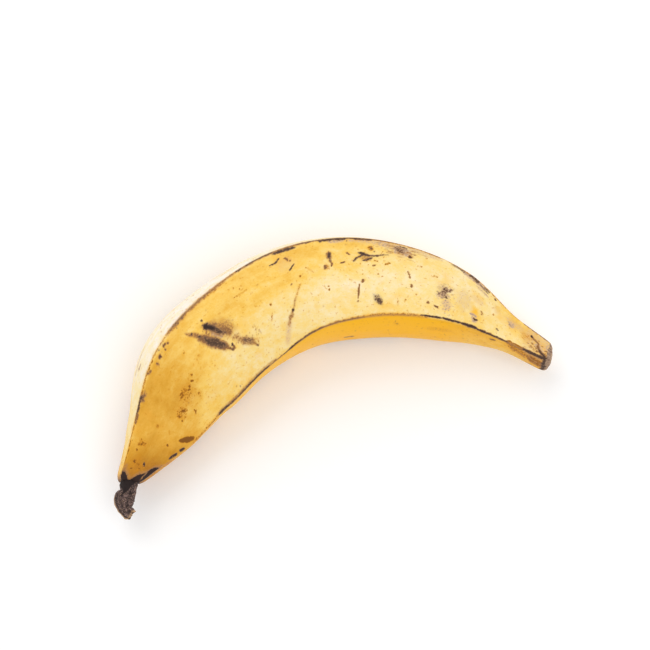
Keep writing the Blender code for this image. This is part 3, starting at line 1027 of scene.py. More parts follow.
        # Painted shade: the skin is made darker underneath and towards the outer ridge than on the broad
        # face.
        shade = self.under_shade * (upper + lower) / 2
        columns = (shade, self.outer_shade * outer, outer, outer, upper, high, low, lower,
                   inner, shade, shade)
        turns = (*OUTER_TURNS, *BROAD_TURNS, *INNER_TURNS)
        tone = np.array([np.interp(self.skin.turns, turns, row) for row in np.transpose(columns)])
        grown = self.skin.grown()
        drift = self.drift_height * self.drift.at(grown)
        return tone + drift + self.streak_height * self.streak.at(grown)

    def deepen(self) -> None:
        """Lay the deep yellow of the inner face, which starts at the inner ridge. It is partly the skin's
        own colour and partly painted shade.
        """
        turns = self.skin.turns
        inside = self.inner_yellow.at(turns) * (1 - self.underside_loss * self.underside.at(turns))
        *_, depth = self.tone_columns()
        self.strengthen(Stain.GOLD, depth[:, None] * inside[None, :])

    def close(self) -> None:
        """Give the first and last columns, which meet in the seam, the same stains."""
        for stain in self.stains.values():
            stain[:, 0] = stain[:, -1] = np.maximum(stain[:, 0], stain[:, -1])

    def run(self) -> None:
        """Lay every mark."""
        for mark in MARKS:
            self.paint(mark)
        for cluster in CLUSTERS:
            self.sprinkle(cluster)
        self.scatter()
        self.deepen()
        self.collar()
        self.rim()
        self.close()


# ---------------------------------------------------------------- shader kit


class Value:
    """A number that flows between shader nodes, with arithmetic that adds Math nodes."""

    def __init__(self, kit: "NodeKit", socket: bpy.types.NodeSocket):
        """Wrap an output socket of one material."""
        self.kit = kit
        self.socket = socket

    def _math(self, operation: str, first: Any, second: Any, clamp: bool = False) -> "Value":
        """Add one Math node and return its result."""
        settings = {"operation": operation, "use_clamp": clamp}
        return self.kit.node("ShaderNodeMath", settings, {0: first, 1: second})

    def __add__(self, other: Any) -> "Value":
        """Add, from either side."""
        return self._math("ADD", self, other)

    def __sub__(self, other: Any) -> "Value":
        """Subtract."""
        return self._math("SUBTRACT", self, other)

    def __rsub__(self, other: Any) -> "Value":
        """Subtract from a number."""
        return self._math("SUBTRACT", other, self)

    def __mul__(self, other: Any) -> "Value":
        """Multiply, from either side."""
        return self._math("MULTIPLY", self, other)

    __radd__, __rmul__ = __add__, __mul__

    def clamped(self) -> "Value":
        """Return the value held between 0 and 1."""
        return self._math("ADD", self, 0.0, clamp=True)

    def stepped(self, low: float, high: float) -> "Value":
        """Return a smooth step from 0 at low to 1 at high."""
        settings = {"interpolation_type": "SMOOTHSTEP"}
        return self.kit.node("ShaderNodeMapRange", settings, {0: self, 1: low, 2: high, 3: 0.0, 4: 1.0})


@dataclass(frozen=True)
class Texture:
    """Soft noise that grows with the fruit, with a scale along, out and up.

    It can show as patches, by a share and where the noise passes a step. It can also
    shift the skin's tone and raise its surface.
    """

    scale: Size
    detail: float
    rough: float
    step: Pair = (0.0, 1.0)
    share: float = 1.0
    tone: float = 0.0
    height: float = 0.0

    def shown(self, level: Value) -> Value:
        """Return how much the patches show at a level of the noise."""
        return level.stepped(*self.step) * self.share

    def shift(self, level: Value) -> Value:
        """Return how far the tone is shifted at a level of the noise."""
        return (level - 0.5) * self.tone


class NodeKit:
    """Adds the nodes of one material."""

    def __init__(self, name: str):
        """Start an empty material.

        Args:
            name: the material's name.
        """
        self.material = bpy.data.materials.new(name)
        self.material.use_nodes = True
        self.tree = self.material.node_tree
        self.tree.nodes.clear()

    def node(self, kind: str, settings: dict[str, Any], values: dict[Any, Any],
             output: Any = 0) -> Value:
        """Add one node.

        Args:
            kind: the node's type.
            settings: its properties, and the stops of a ramp.
            values: numbers, colours or links for its sockets, by name or place.
            output: the output to return, by name or place.

        Returns:
            The chosen output.
        """
        node = self.tree.nodes.new(kind)
        for name, setting in settings.items():
            if name == "stops":
                self._set_stops(node.color_ramp, setting)
            else:
                setattr(node, name, setting)
        for name, value in values.items():
            if isinstance(value, Value):
                self.tree.links.new(value.socket, node.inputs[name])
            else:
                node.inputs[name].default_value = value
        return Value(self, node.outputs[output])

    def _set_stops(self, ramp: bpy.types.ColorRamp, stops: Sequence[tuple[float, Colour]]) -> None:
        """Give a ramp its stops."""
        while len(ramp.elements) < len(stops):
            ramp.elements.new(1.0)
        for element, (place, colour) in zip(ramp.elements, stops):
            element.position = place
            element.color = (*colour, 1.0)

    def mixed(self, share: Value, first: Any, second: Any, blend: str = "MIX") -> Value:
        """Mix two colours.

        Args:
            share: how much of the second colour shows.
            first: the first colour, as numbers or a link.
            second: the second colour.
            blend: how the second is laid over the first.

        Returns:
            The mixed colour.
        """
        settings = {"data_type": "RGBA", "blend_type": blend}
        colours = [item if isinstance(item, Value) else (*item, 1.0) for item in (first, second)]
        return self.node("ShaderNodeMix", settings, {0: share, 6: colours[0], 7: colours[1]}, 2)

    def attribute(self, name: str) -> Value:
        """Return a vector that the mesh holds for each point."""
        return self.node("ShaderNodeAttribute", {"attribute_name": name}, {}, "Vector")

    def parts(self, name: str) -> tuple[Value, Value, Value]:
        """Split a vector that the mesh holds for each point.

        Args:
            name: the attribute's name.

        Returns:
            Its three numbers.
        """
        split = self.node("ShaderNodeSeparateXYZ", {}, {0: self.attribute(name)})
        first, second, third = split.socket.node.outputs
        return Value(self, first), Value(self, second), Value(self, third)

    def noise(self, texture: Texture) -> Value:
        """Add the noise of a texture.

        Args:
            texture: the texture, which is laid on the straightened fruit.

        Returns:
            The noise, between 0 and 1.
        """
        grown = {0: self.attribute("grown"), 1: texture.scale}
        place = self.node("ShaderNodeVectorMath", {"operation": "MULTIPLY"}, grown)
        values = {"Vector": place, "Scale": 1.0, "Detail": texture.detail, "Roughness": texture.rough}
        return self.node("ShaderNodeTexNoise", {}, values)

    def patches(self, texture: Texture) -> Value:
        """Return how much the patches of a texture show."""
        return texture.shown(self.noise(texture))

    def bump(self, height: Value, strength: float, distance: float) -> Value:
        """Return a normal that is bent by a height."""
        values = {"Strength": strength, "Distance": distance, "Height": height}
        return self.node("ShaderNodeBump", {}, values)

    def finish(self, constants: dict[str, Any], links: dict[str, Value]) -> bpy.types.Material:
        """Close the material with its shader.

        Args:
            constants: what is the same all over the surface.
            links: what changes over it.

        Returns:
            The material.
        """
        shader = self.node("ShaderNodeBsdfPrincipled", {}, {**constants, **links})
        output = self.tree.nodes.new("ShaderNodeOutputMaterial")
        self.tree.links.new(shader.socket, output.inputs["Surface"])
        return self.material


# ---------------------------------------------------------------- finishes


@dataclass(frozen=True)
class StainLook:
    """How one kind of stain looks, in one colour where it is thin and another where it is thick.

    The grit breaks up a share of it, and it can roughen the skin and deepen the grit.
    """

    thin: Colour
    thick: Colour
    broken: float
    roughness: float = 0.0
    pitting: float = 0.0


@dataclass(frozen=True)
class PeelFinish:
    """Ripe plantain skin: waxy yellow with rubs, stains and fine fibres, and painted highlight and
    painted shade in its tone.
    """

    # Tones above 1 give the outer face its near-white painted highlight.
    palest: float = 1.25
    tones: tuple[tuple[float, Colour], ...] = (
        (0.00, (0.430, 0.170, 0.013)),
        (0.25, (0.600, 0.278, 0.018)),
        (0.50, (0.800, 0.430, 0.056)),
        (0.70, (0.950, 0.630, 0.155)),
        (0.86, (0.960, 0.738, 0.330)),
        (1.00, (0.965, 0.805, 0.490)),
        (1.25, (0.960, 0.890, 0.830)),
    )
    # The inner face's deep yellow: partly the skin's own colour, partly painted shade.
    deep_yellow: Colour = (0.97, 0.485, 0.0)
    mellow: Colour = (1.0, 0.930, 0.64)
    flushed: Colour = (0.93, 0.46, 0.055)
    speckled: Colour = (0.66, 0.255, 0.010)
    cut_pith: Colour = (0.62, 0.43, 0.26)
    cut_rind: Colour = (0.52, 0.350, 0.225)
    cut_fibre: Colour = (0.205, 0.125, 0.088)

    rub: StainLook = StainLook((0.72, 0.480, 0.270), (0.36, 0.245, 0.190), 0.40, 0.16)
    # Rust specks, and the orange-brown painted shade along the ridges and the inner face's low edge.
    rust_and_shade: StainLook = StainLook((0.66, 0.255, 0.010), (0.235, 0.084, 0.004), 0.60)
    bruise: StainLook = StainLook((0.50, 0.235, 0.065), (0.115, 0.054, 0.032), 0.30, 0.12, 0.8)
    ink: StainLook = StainLook((0.27, 0.145, 0.074), (0.036, 0.020, 0.017), 0.45, 0.18)
    cut_broken: float = 0.60
    cut_pitting: float = 1.4
    fleck_gain: float = 1.3
    fleck_edge: float = 0.30
    fleck_onset: float = 2.5

    fibres: Texture = Texture((30.0, 700.0, 700.0), 3.0, 0.6, tone=0.11, height=0.45)
    threads: Texture = Texture((90.0, 2400.0, 2400.0), 2.0, 0.6, height=0.25)
    cloud: Texture = Texture((70.0, 130.0, 130.0), 4.0, 0.55, tone=0.32)
    grit: Texture = Texture((1300.0, 1600.0, 1600.0), 3.0, 0.65, tone=0.14, height=0.35)
    patch: Texture = Texture((210.0, 260.0, 260.0), 3.0, 0.6, (0.35, 0.65), 0.55, tone=0.26)
    flush: Texture = Texture((85.0, 110.0, 110.0), 4.0, 0.6, (0.52, 0.80), 0.40)
    specks: Texture = Texture((704.0, 836.0, 836.0), 1.0, 0.4, (0.66, 0.74), 0.45)
    rind: Texture = Texture((900.0, 900.0, 900.0), 4.0, 0.7, (0.36, 0.64))
    grit_step: Pair = (0.30, 0.70)
    grit_mottle: float = 0.45

    roughness: float = 0.38
    cloud_roughness: float = 0.14
    cut_roughness: float = 0.35
    bump_strength: float = 0.4
    bump_distance: float = 0.0003
    ior: float = 1.45
    specular: float = 0.22

    def broken(self, amount: Value, gritty: Value, share: float) -> Value:
        """Break a share of a stain up, so that a weak one is a smear with flecks in it."""
        flecks = (amount * self.fleck_gain + gritty - 1.0).stepped(0.0, self.fleck_edge)
        return amount * (1.0 - share) + flecks * (amount * self.fleck_onset).clamped() * share

    def material(self) -> bpy.types.Material:
        """Build the material.

        Returns:
            The skin's material.
        """
        kit = NodeKit("ripe_peel")
        black, brown, rust_and_painted_shade = kit.parts("stain")
        # The tone attribute holds the grey rubs, the inner face's deep yellow and the pale tone, which
        # carries painted highlight and painted shade.
        grey, deep, pallor_and_painted_light = kit.parts("tone")
        cut, pith, _ = kit.parts("cut")
        fibres, threads, cloud, grit, patch = map(
            kit.noise, (self.fibres, self.threads, self.cloud, self.grit, self.patch))
        gritty = grit.stepped(*self.grit_step)

        tone = pallor_and_painted_light + self.fibres.shift(fibres) + self.cloud.shift(cloud)
        tone = tone + self.grit.shift(grit) + self.patch.shift(patch)
        stops = [(place / self.palest, colour) for place, colour in self.tones]
        tone = (tone * (1.0 / self.palest)).clamped()
        skin = kit.node("ShaderNodeValToRGB", {"stops": stops}, {0: tone})
        mottle = 1.0 - self.patch.shown(patch) - gritty * self.grit_mottle
        skin = kit.mixed(mottle, skin, self.mellow, "MULTIPLY")
        skin = kit.mixed(kit.patches(self.flush), skin, self.flushed)
        # The inner face's deep yellow, partly painted shade.
        skin = kit.mixed(deep.clamped(), skin, self.deep_yellow)
        skin = kit.mixed(kit.patches(self.specks), skin, self.speckled)

        rough = self.roughness + self.cloud_roughness * cloud + self.cut_roughness * cut
        pitting = self.grit.height + self.cut_pitting * cut
        # The rust stain also carries orange-brown painted shade along the ridges and the inner face's low
        # edge.
        looks = ((grey, self.rub), (rust_and_painted_shade, self.rust_and_shade), (brown, self.bruise), (black, self.ink))
        for amount, look in looks:
            laid = self.broken(amount, gritty, look.broken)
            skin = kit.mixed((laid * 2.0).clamped(), skin, look.thin)
            skin = kit.mixed((laid * 2.0 - 1.0).clamped(), skin, look.thick)
            rough = rough + look.roughness * laid
            pitting = pitting + look.pitting * laid
        fibre = kit.mixed(kit.patches(self.rind), self.cut_fibre, self.cut_rind)
        fibre = kit.mixed(pith.clamped(), fibre, self.cut_pith)
        skin = kit.mixed(self.broken(cut, gritty, self.cut_broken), skin, fibre)

        height = fibres * self.fibres.height + threads * self.threads.height + grit * pitting
        bump = kit.bump(height, self.bump_strength, self.bump_distance)
        constants = {"IOR": self.ior, "Specular IOR Level": self.specular}
        links = {"Base Color": skin, "Roughness": rough.clamped(), "Normal": bump}
        return kit.finish(constants, links)


@dataclass(frozen=True)
class DriedFlowerFinish:
    """The dried blossom: dark, crusted and pleated, with paler torn edges. Its pleat creases, the groove
    down it and the inside of its hollow are darkened with painted shade.
    """

    dark: Colour = (0.024, 0.015, 0.014)
    mid: Colour = (0.125, 0.080, 0.075)
    ash: Colour = (0.45, 0.290, 0.240)
    straw: Colour = (0.62, 0.385, 0.200)
    crust: Texture = Texture((620.0, 800.0, 800.0), 5.0, 0.75, (0.40, 0.62))
    flake: Texture = Texture((1500.0, 1500.0, 1500.0), 4.0, 0.7, (0.49, 0.63), 0.72)
    crumb: Texture = Texture((2100.0, 2100.0, 2100.0), 3.0, 0.6, (0.58, 0.68), 0.55)
    # How much the folds are darkened: painted shade in the creases.
    crease_shade_share: float = 0.55
    roughness: float = 0.72
    crust_roughness: float = 0.2
    bump_strength: float = 0.7
    bump_distance: float = 0.0005
    specular: float = 0.25

    def material(self) -> bpy.types.Material:
        """Build the material.

        Returns:
            The dried flower's material.
        """
        kit = NodeKit("dried_blossom")
        fold, edge, root = kit.parts("dry")
        bare = 1 - root
        crust, flake = kit.noise(self.crust), kit.noise(self.flake)
        colour = kit.mixed(self.crust.shown(crust) * bare, self.dark, self.mid)
        colour = kit.mixed(self.flake.shown(flake) * bare, colour, self.ash)
        colour = kit.mixed((edge + kit.patches(self.crumb) * bare).clamped(), colour, self.straw)
        # Painted shade: the pleat creases, the groove down the flower and the inside of the hollow are
        # darkened.
        colour = kit.mixed((fold * self.crease_shade_share).clamped(), colour, self.dark)
        rough = self.roughness + self.crust_roughness * crust
        bump = kit.bump(crust + flake, self.bump_strength, self.bump_distance)
        links = {"Base Color": colour, "Roughness": rough, "Normal": bump}
        return kit.finish({"Specular IOR Level": self.specular}, links)


@dataclass(frozen=True)
class FloorFinish:
    """A matt, nearly white floor."""

    paint: Colour = (0.97, 0.97, 0.97)
    worn: Colour = (0.955, 0.955, 0.955)
    cloud_scale: float = 3.0
    roughness: float = 0.9
    specular: float = 0.1
    glow: float = 0.07

    def material(self) -> bpy.types.Material:
        """Build the material.

        Returns:
            The floor's material.
        """
        kit = NodeKit("pale_floor")
        place = kit.node("ShaderNodeTexCoord", {}, {}, "Object")
        cloud = kit.node("ShaderNodeTexNoise", {}, {"Vector": place, "Scale": self.cloud_scale})
        paint = kit.mixed(cloud, self.paint, self.worn)
        constants = {"Roughness": self.roughness, "Specular IOR Level": self.specular,
                     "Emission Color": (1.0, 1.0, 1.0, 1.0), "Emission Strength": self.glow}
        return kit.finish(constants, {"Base Color": paint})


# ---------------------------------------------------------------- meshes


def wrapped_grid(points: Array, layers: dict[str, Array]) -> bmesh.types.BMesh:
    """Wrap a flat grid into a closed skin.

    Args:
        points: a row of points for each ring, in millimetres, the last point of a ring on its first.
        layers: three numbers for each point, by attribute name.

    Returns:
        A closed bmesh whose ends have shrunk to poles.
    """
    rings, around = points.shape[:2]
    bm = bmesh.new()
    bmesh.ops.create_grid(bm, x_segments=around - 1, y_segments=rings - 1, size=1.0)
    stores = {name: bm.verts.layers.float_vector.new(name) for name in layers}
    places = points.reshape(-1, 3) * MM
    rows = {name: values.reshape(-1, 3) for name, values in layers.items()}
    for vert in bm.verts:
        column = round((vert.co.x + 1.0) / 2.0 * (around - 1))
        ring = round((vert.co.y + 1.0) / 2.0 * (rings - 1))
        index = ring * around + column
        vert.co = places[index]
        for name, store in stores.items():
            vert[store] = rows[name][index]
    bmesh.ops.remove_doubles(bm, verts=bm.verts, dist=WELD)
    bmesh.ops.dissolve_degenerate(bm, edges=bm.edges, dist=SLIVER)
    bmesh.ops.recalc_face_normals(bm, faces=bm.faces)
    return bm


def piece_from(bm: bmesh.types.BMesh, name: str, material: bpy.types.Material) -> bpy.types.Object:
    """Make a smooth-shaded piece of the fruit.

    Args:
        bm: the piece's mesh, which is freed.
        name: the piece's name.
        material: its finish.

    Returns:
        The object, tied to the frame.
    """
    for face in bm.faces:
        face.smooth = True
    mesh = bpy.data.meshes.new(name)
    bm.to_mesh(mesh)
    bm.free()
    mesh.materials.append(material)
    piece = bpy.data.objects.new(name, mesh)
    bpy.context.scene.collection.objects.link(piece)
    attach(piece, "root")
    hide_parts("plantain")
    return piece


@dataclass
class Fitting:
    """How the fruit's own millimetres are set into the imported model's frame."""

    form: FruitForm
    low: Sequence[float]
    high: Sequence[float]
    peel_rows: int = 120
    remnant_rows: int = 20
    columns: int = 65
    shift: Array = field(init=False)

    def __post_init__(self) -> None:
        """Find the shift that puts the plain form in the model's box."""
        peel = self.plain(PEEL_STATIONS, self.peel_rows)
        remnant = self.plain(REMNANT_STATIONS[1:], self.remnant_rows)
        points = np.concatenate((peel.reshape(-1, 3), remnant.reshape(-1, 3)))
        middle = (points.min(axis=0) + points.max(axis=0)) / 2
        aim = (np.array(self.low) + np.array(self.high)) / 2 / MM
        floor = float(self.low[2]) / MM
        self.shift = np.array((aim[0] - middle[0], aim[1] - middle[1], floor - self.form.contact_flat))

    def plain(self, stations: Sequence[Station], rows: int) -> Array:
        """Shape the form without any relief.

        Args:
            stations: the stations that the skin follows.
            rows: how many sections the skin has.

        Returns:
            The skin's points, in the fruit's own millimetres.
        """
        at = np.linspace(0.0, self.form.knots(stations)[-1], rows)
        skin = Skin(self.form, stations, at, np.linspace(0.0, FACES, self.columns))
        return skin.points(np.zeros_like(skin.radius), skin.cut_slide())

    def placed(self, points: Array) -> Array:
        """Set points into the frame.

        Args:
            points: places in the fruit's own millimetres.

        Returns:
            The same places in the frame, in millimetres, with none of them below the floor.
        """
        moved = points + self.shift
        moved[..., 2] = np.maximum(moved[..., 2], float(self.low[2]) / MM)
        return moved


@dataclass
class Peel:
    """The fruit's skin, with the cut face of its stem.

    Lengths are in millimetres. The hollow's width is in widths of the bead. A range holds
    the least of an amount and how much can be added to it.
    """

    fitting: Fitting
    rings: int = 484
    face_columns: tuple[int, int, int, int] = (30, 112, 30, 18)
    finish: PeelFinish = PeelFinish()

    undulation: float = 0.32
    swells: Grain = Grain((42.0, 16.0, 16.0), 1.3)
    facet: float = 0.09
    facets: Grain = Grain((60.0, 4.0, 4.0), 7.7)

    bead: float = 0.34
    bead_width: float = 0.62
    bead_hollow: float = 0.45
    hollow_width: float = 3.2
    bead_range: Pair = (0.75, 0.5)
    bead_unevenness: Grain = Grain((9.0, 40.0, 40.0), 2.4)
    bead_start: Ramp = Ramp(0.0, 8.0)
    bead_end: Ramp = Ramp(225.0, 238.0)

    groove: float = 0.30
    wrinkles: Grain = Grain((30.0, 2.0, 2.0), 4.9)
    pleats: Grain = Grain((46.0, 3.4, 3.4), 14.2)
    neck: Ramp = Ramp(12.0, 42.0)
    neck_grooves: float = 0.8
    tip: Ramp = Ramp(214.0, 236.0)

    bruise_depth: float = 0.20
    sunken: Ramp = Ramp(0.3, 1.0)
    ink_depth: float = 0.08
    inked: Ramp = Ramp(0.4, 1.0)

    shoulder: float = 1.9
    shoulder_length: float = 3.4
    shoulder_turn: float = 0.98
    tip_reach: float = 16.0
    tip_power: float = 1.5
    tip_slant: float = 0.42
    tip_offset: float = 0.6
    tip_limits: Pair = (-0.4, 3.4)

    cut_rings: int = 9
    cut_skew: float = 0.08
    cut_reach: float = 1.3
    cut_tilt: float = 0.12
    cut_inner: Ramp = Ramp(-1.0, 0.9)
    cut_round: float = 1.5
    cut_round_range: Pair = (0.45, 0.75)
    cut_round_length: float = 3.2
    cut_narrowing: float = 0.9
    narrowing_length: float = 16.0
    lip_length: float = 0.9
    lip_height: float = 0.28
    lip_raggedness: float = 0.45
    lip_grain: Grain = Grain((1.4, 1.8, 1.8), 6.6)
    cut_dome: float = 1.6
    dome_power: float = 2.6
    cut_fibres: Grain = Grain((0.9, 1.3, 1.3), 8.1)
    cut_lumps: Grain = Grain((3.0, 3.0, 3.0), 2.2)
    lump_share: float = 0.6
    cut_roughness: float = 0.42
    cut_smooth_middle: Ramp = Ramp(0.0, 0.25)
    cut_band: float = 0.9
    band_wobble: float = 0.6
    band_edge: Ramp = Ramp(-0.1, 0.5)
    pith_share: float = 0.5
    pith_edge: Ramp = Ramp(0.35, 0.7)

    end_rings: int = 3
    end_size: float = 0.7

    def turns(self) -> Array:
        """Return the columns' turns, closest together on the broad upper face."""
        runs = [face + np.arange(count) / count for face, count in enumerate(self.face_columns)]
        return np.concatenate((*runs, [float(FACES)]))

    def body(self, skin: Skin) -> Array:
        """Return how much each row belongs to the body, and not to the cut or the tip."""
        return (self.bead_start.at(skin.at) * (1 - self.bead_end.at(skin.at)))[:, None]

    def beads(self, skin: Skin) -> Array:
        """Shape the raised line along each ridge, with a hollow to either side.

        Args:
            skin: the skin to shape.

        Returns:
            How far the beads raise each point.
        """
        low, more = self.bead_range
        height = self.bead * (low + more * self.bead_unevenness.at(skin.grown())) * self.body(skin)
        lift = np.zeros_like(height)
        for ridge in range(FACES + 1):
            away = skin.from_ridge(ridge) / self.bead_width
            crest = np.exp(-0.5 * away ** 2)
            hollow = np.exp(-0.5 * (away / self.hollow_width) ** 2)
            lift = lift + height * (crest - self.bead_hollow * hollow)
        return lift

    def cut_edge(self, skin: Skin) -> Array:
        """Turn the skin in and fray it along the cut.

        Args:
            skin: the skin to shape.

        Returns:
            How far each point is raised.
        """
        inner = self.cut_inner.at(-skin.out / skin.half_width[:, None])
        low, more = self.cut_round_range
        turn_in = nearness(skin.at, self.cut_round_length)[:, None]
        rounding = self.cut_round * (low + more * inner) * (1 - np.sqrt(1 - turn_in ** 2))
        near = nearness(skin.at, self.narrowing_length)[:, None]
        narrowing = self.cut_narrowing * (1 - inner) * near
        lip = np.exp(-skin.at / self.lip_length)[:, None]
        frayed = lip * (self.lip_height + self.lip_raggedness * self.lip_grain.at(skin.grown()))
        return frayed - rounding - narrowing

    def relief(self, skin: Skin, stains: dict[Stain, Array]) -> Array:
        """Shape the skin's surface.

        Args:
            skin: the skin to shape.
            stains: how much of each stain every point carries.

        Returns:
            How far each point is raised, in millimetres.
        """
        grown = skin.grown()
        lift = self.undulation * self.swells.at(grown) + self.facet * self.facets.at(grown)
        lift = lift + self.beads(skin) + self.cut_edge(skin)
        grooved = self.neck_grooves * (1 - self.neck.at(skin.at)) + self.tip.at(skin.at)
        grooves = self.wrinkles.at(grown) + self.pleats.at(grown)
        lift = lift + self.groove * grooves * grooved[:, None]
        end = nearness(skin.at[-1] - skin.at, self.shoulder_length)[:, None]
        lift = lift - self.shoulder * (1 - np.sqrt(1 - self.shoulder_turn * end ** 2))
        lift = lift - self.bruise_depth * self.sunken.at(stains[Stain.BRUISE])
        lift = lift - self.ink_depth * self.inked.at(stains[Stain.INK]) * self.body(skin)
        lift[:, -1] = lift[:, 0]
        return lift

    def slide(self, skin: Skin) -> Array:
        """Slant and skew the cut, and run the outer side on over the dried flower's root.

        Args:
            skin: the skin to shape.

        Returns:
            How far each point is moved towards the tip, along the centre line.
        """
        cut = skin.cut_slide() + skin.near_cut() * (self.cut_skew * skin.out - self.cut_reach)
        share = Ramp(skin.at[-1] - self.tip_reach, skin.at[-1]).at(skin.at) ** self.tip_power
        tip = np.clip(self.tip_slant * skin.out + self.tip_offset, *self.tip_limits)
        return cut + share[:, None] * tip

    def cut_face(self, rim: Array, axis: Array, grown: Array) -> tuple[Array, Array]:
        """Close the stem with its rough cut face.

        Args:
            rim: the ring of points at the cut, in millimetres.
            axis: the direction out of the cut.
            grown: the straightened places of the rim.

        Returns:
            The rings from the middle of the face outwards, and their straightened places.
        """
        shares = self.cut_shares()
        places = shrunk(grown, shares)
        rough = self.cut_fibres.at(places) + self.lump_share * self.cut_lumps.at(places)
        dome = self.cut_dome * (1 - shares ** self.dome_power)[:, None]
        out = dome + self.cut_roughness * rough * self.cut_smooth_middle.at(shares)[:, None]
        return shrunk(rim, shares) + out[:, :, None] * axis, places

    def cut_shares(self) -> Array:
        """Return the sizes of the cut face's rings, as shares of its edge."""
        return np.arange(self.cut_rings) / self.cut_rings

    def cut_layer(self, painter: MarkPainter) -> tuple[Array, Array]:
        """Mark where the flesh is bare at the cut.

        Args:
            painter: the skin's painter, whose wobble makes the edge ragged.

        Returns:
            Three numbers for each point of the cut face and of the skin: how bare it is,
            how much pith shows, and 0.
        """
        edge = self.cut_band + self.band_wobble * painter.wobble[0] - painter.skin.at[:, None]
        body = vectors(self.band_edge.at(edge))
        pith = self.pith_share * (1 - self.pith_edge.at(self.cut_shares()))
        face = vectors(np.ones_like(pith), pith)
        return np.repeat(face[:, None], body.shape[1], axis=1), body

    def build(self) -> bpy.types.Object:
        """Build the skin.

        Returns:
            The finished piece.
        """
        form = self.fitting.form
        at = np.linspace(0.0, form.knots(PEEL_STATIONS)[-1], self.rings)
        skin = Skin(form, PEEL_STATIONS, at, self.turns())
        painter = MarkPainter(skin)
        painter.run()
        stains = painter.stains
        body = self.fitting.placed(skin.points(self.relief(skin, stains), self.slide(skin)))
        grown = skin.grown()
        axis = np.array((*-skin.course[0], self.cut_tilt))
        face, face_grown = self.cut_face(body[0], axis, grown[0])
        tail = shrunk(body[-1], np.linspace(self.end_size, 0.0, self.end_rings))
        blank_face, blank_tail = np.zeros(face.shape), np.zeros(tail.shape)
        black_tail = vectors(np.ones(tail.shape[:2]))
        stain = vectors(stains[Stain.INK], stains[Stain.BRUISE], stains[Stain.RUST_AND_SHADE])
        # The tone holds the rubs, the inner face's deep yellow, and painted highlight and painted shade.
        tone = vectors(stains[Stain.CHAFE], stains[Stain.GOLD], painter.pallor_and_painted_light())
        face_cut, body_cut = self.cut_layer(painter)
        layers = {
            "grown": np.concatenate((face_grown, grown, np.repeat(grown[-1:], len(tail), axis=0))) * MM,
            "stain": np.concatenate((blank_face, stain, black_tail)),
            "tone": np.concatenate((blank_face, tone, blank_tail)),
            "cut": np.concatenate((face_cut, body_cut, blank_tail)),
        }
        points = np.concatenate((face, body, tail))
        return piece_from(wrapped_grid(points, layers), "peel", self.finish.material())


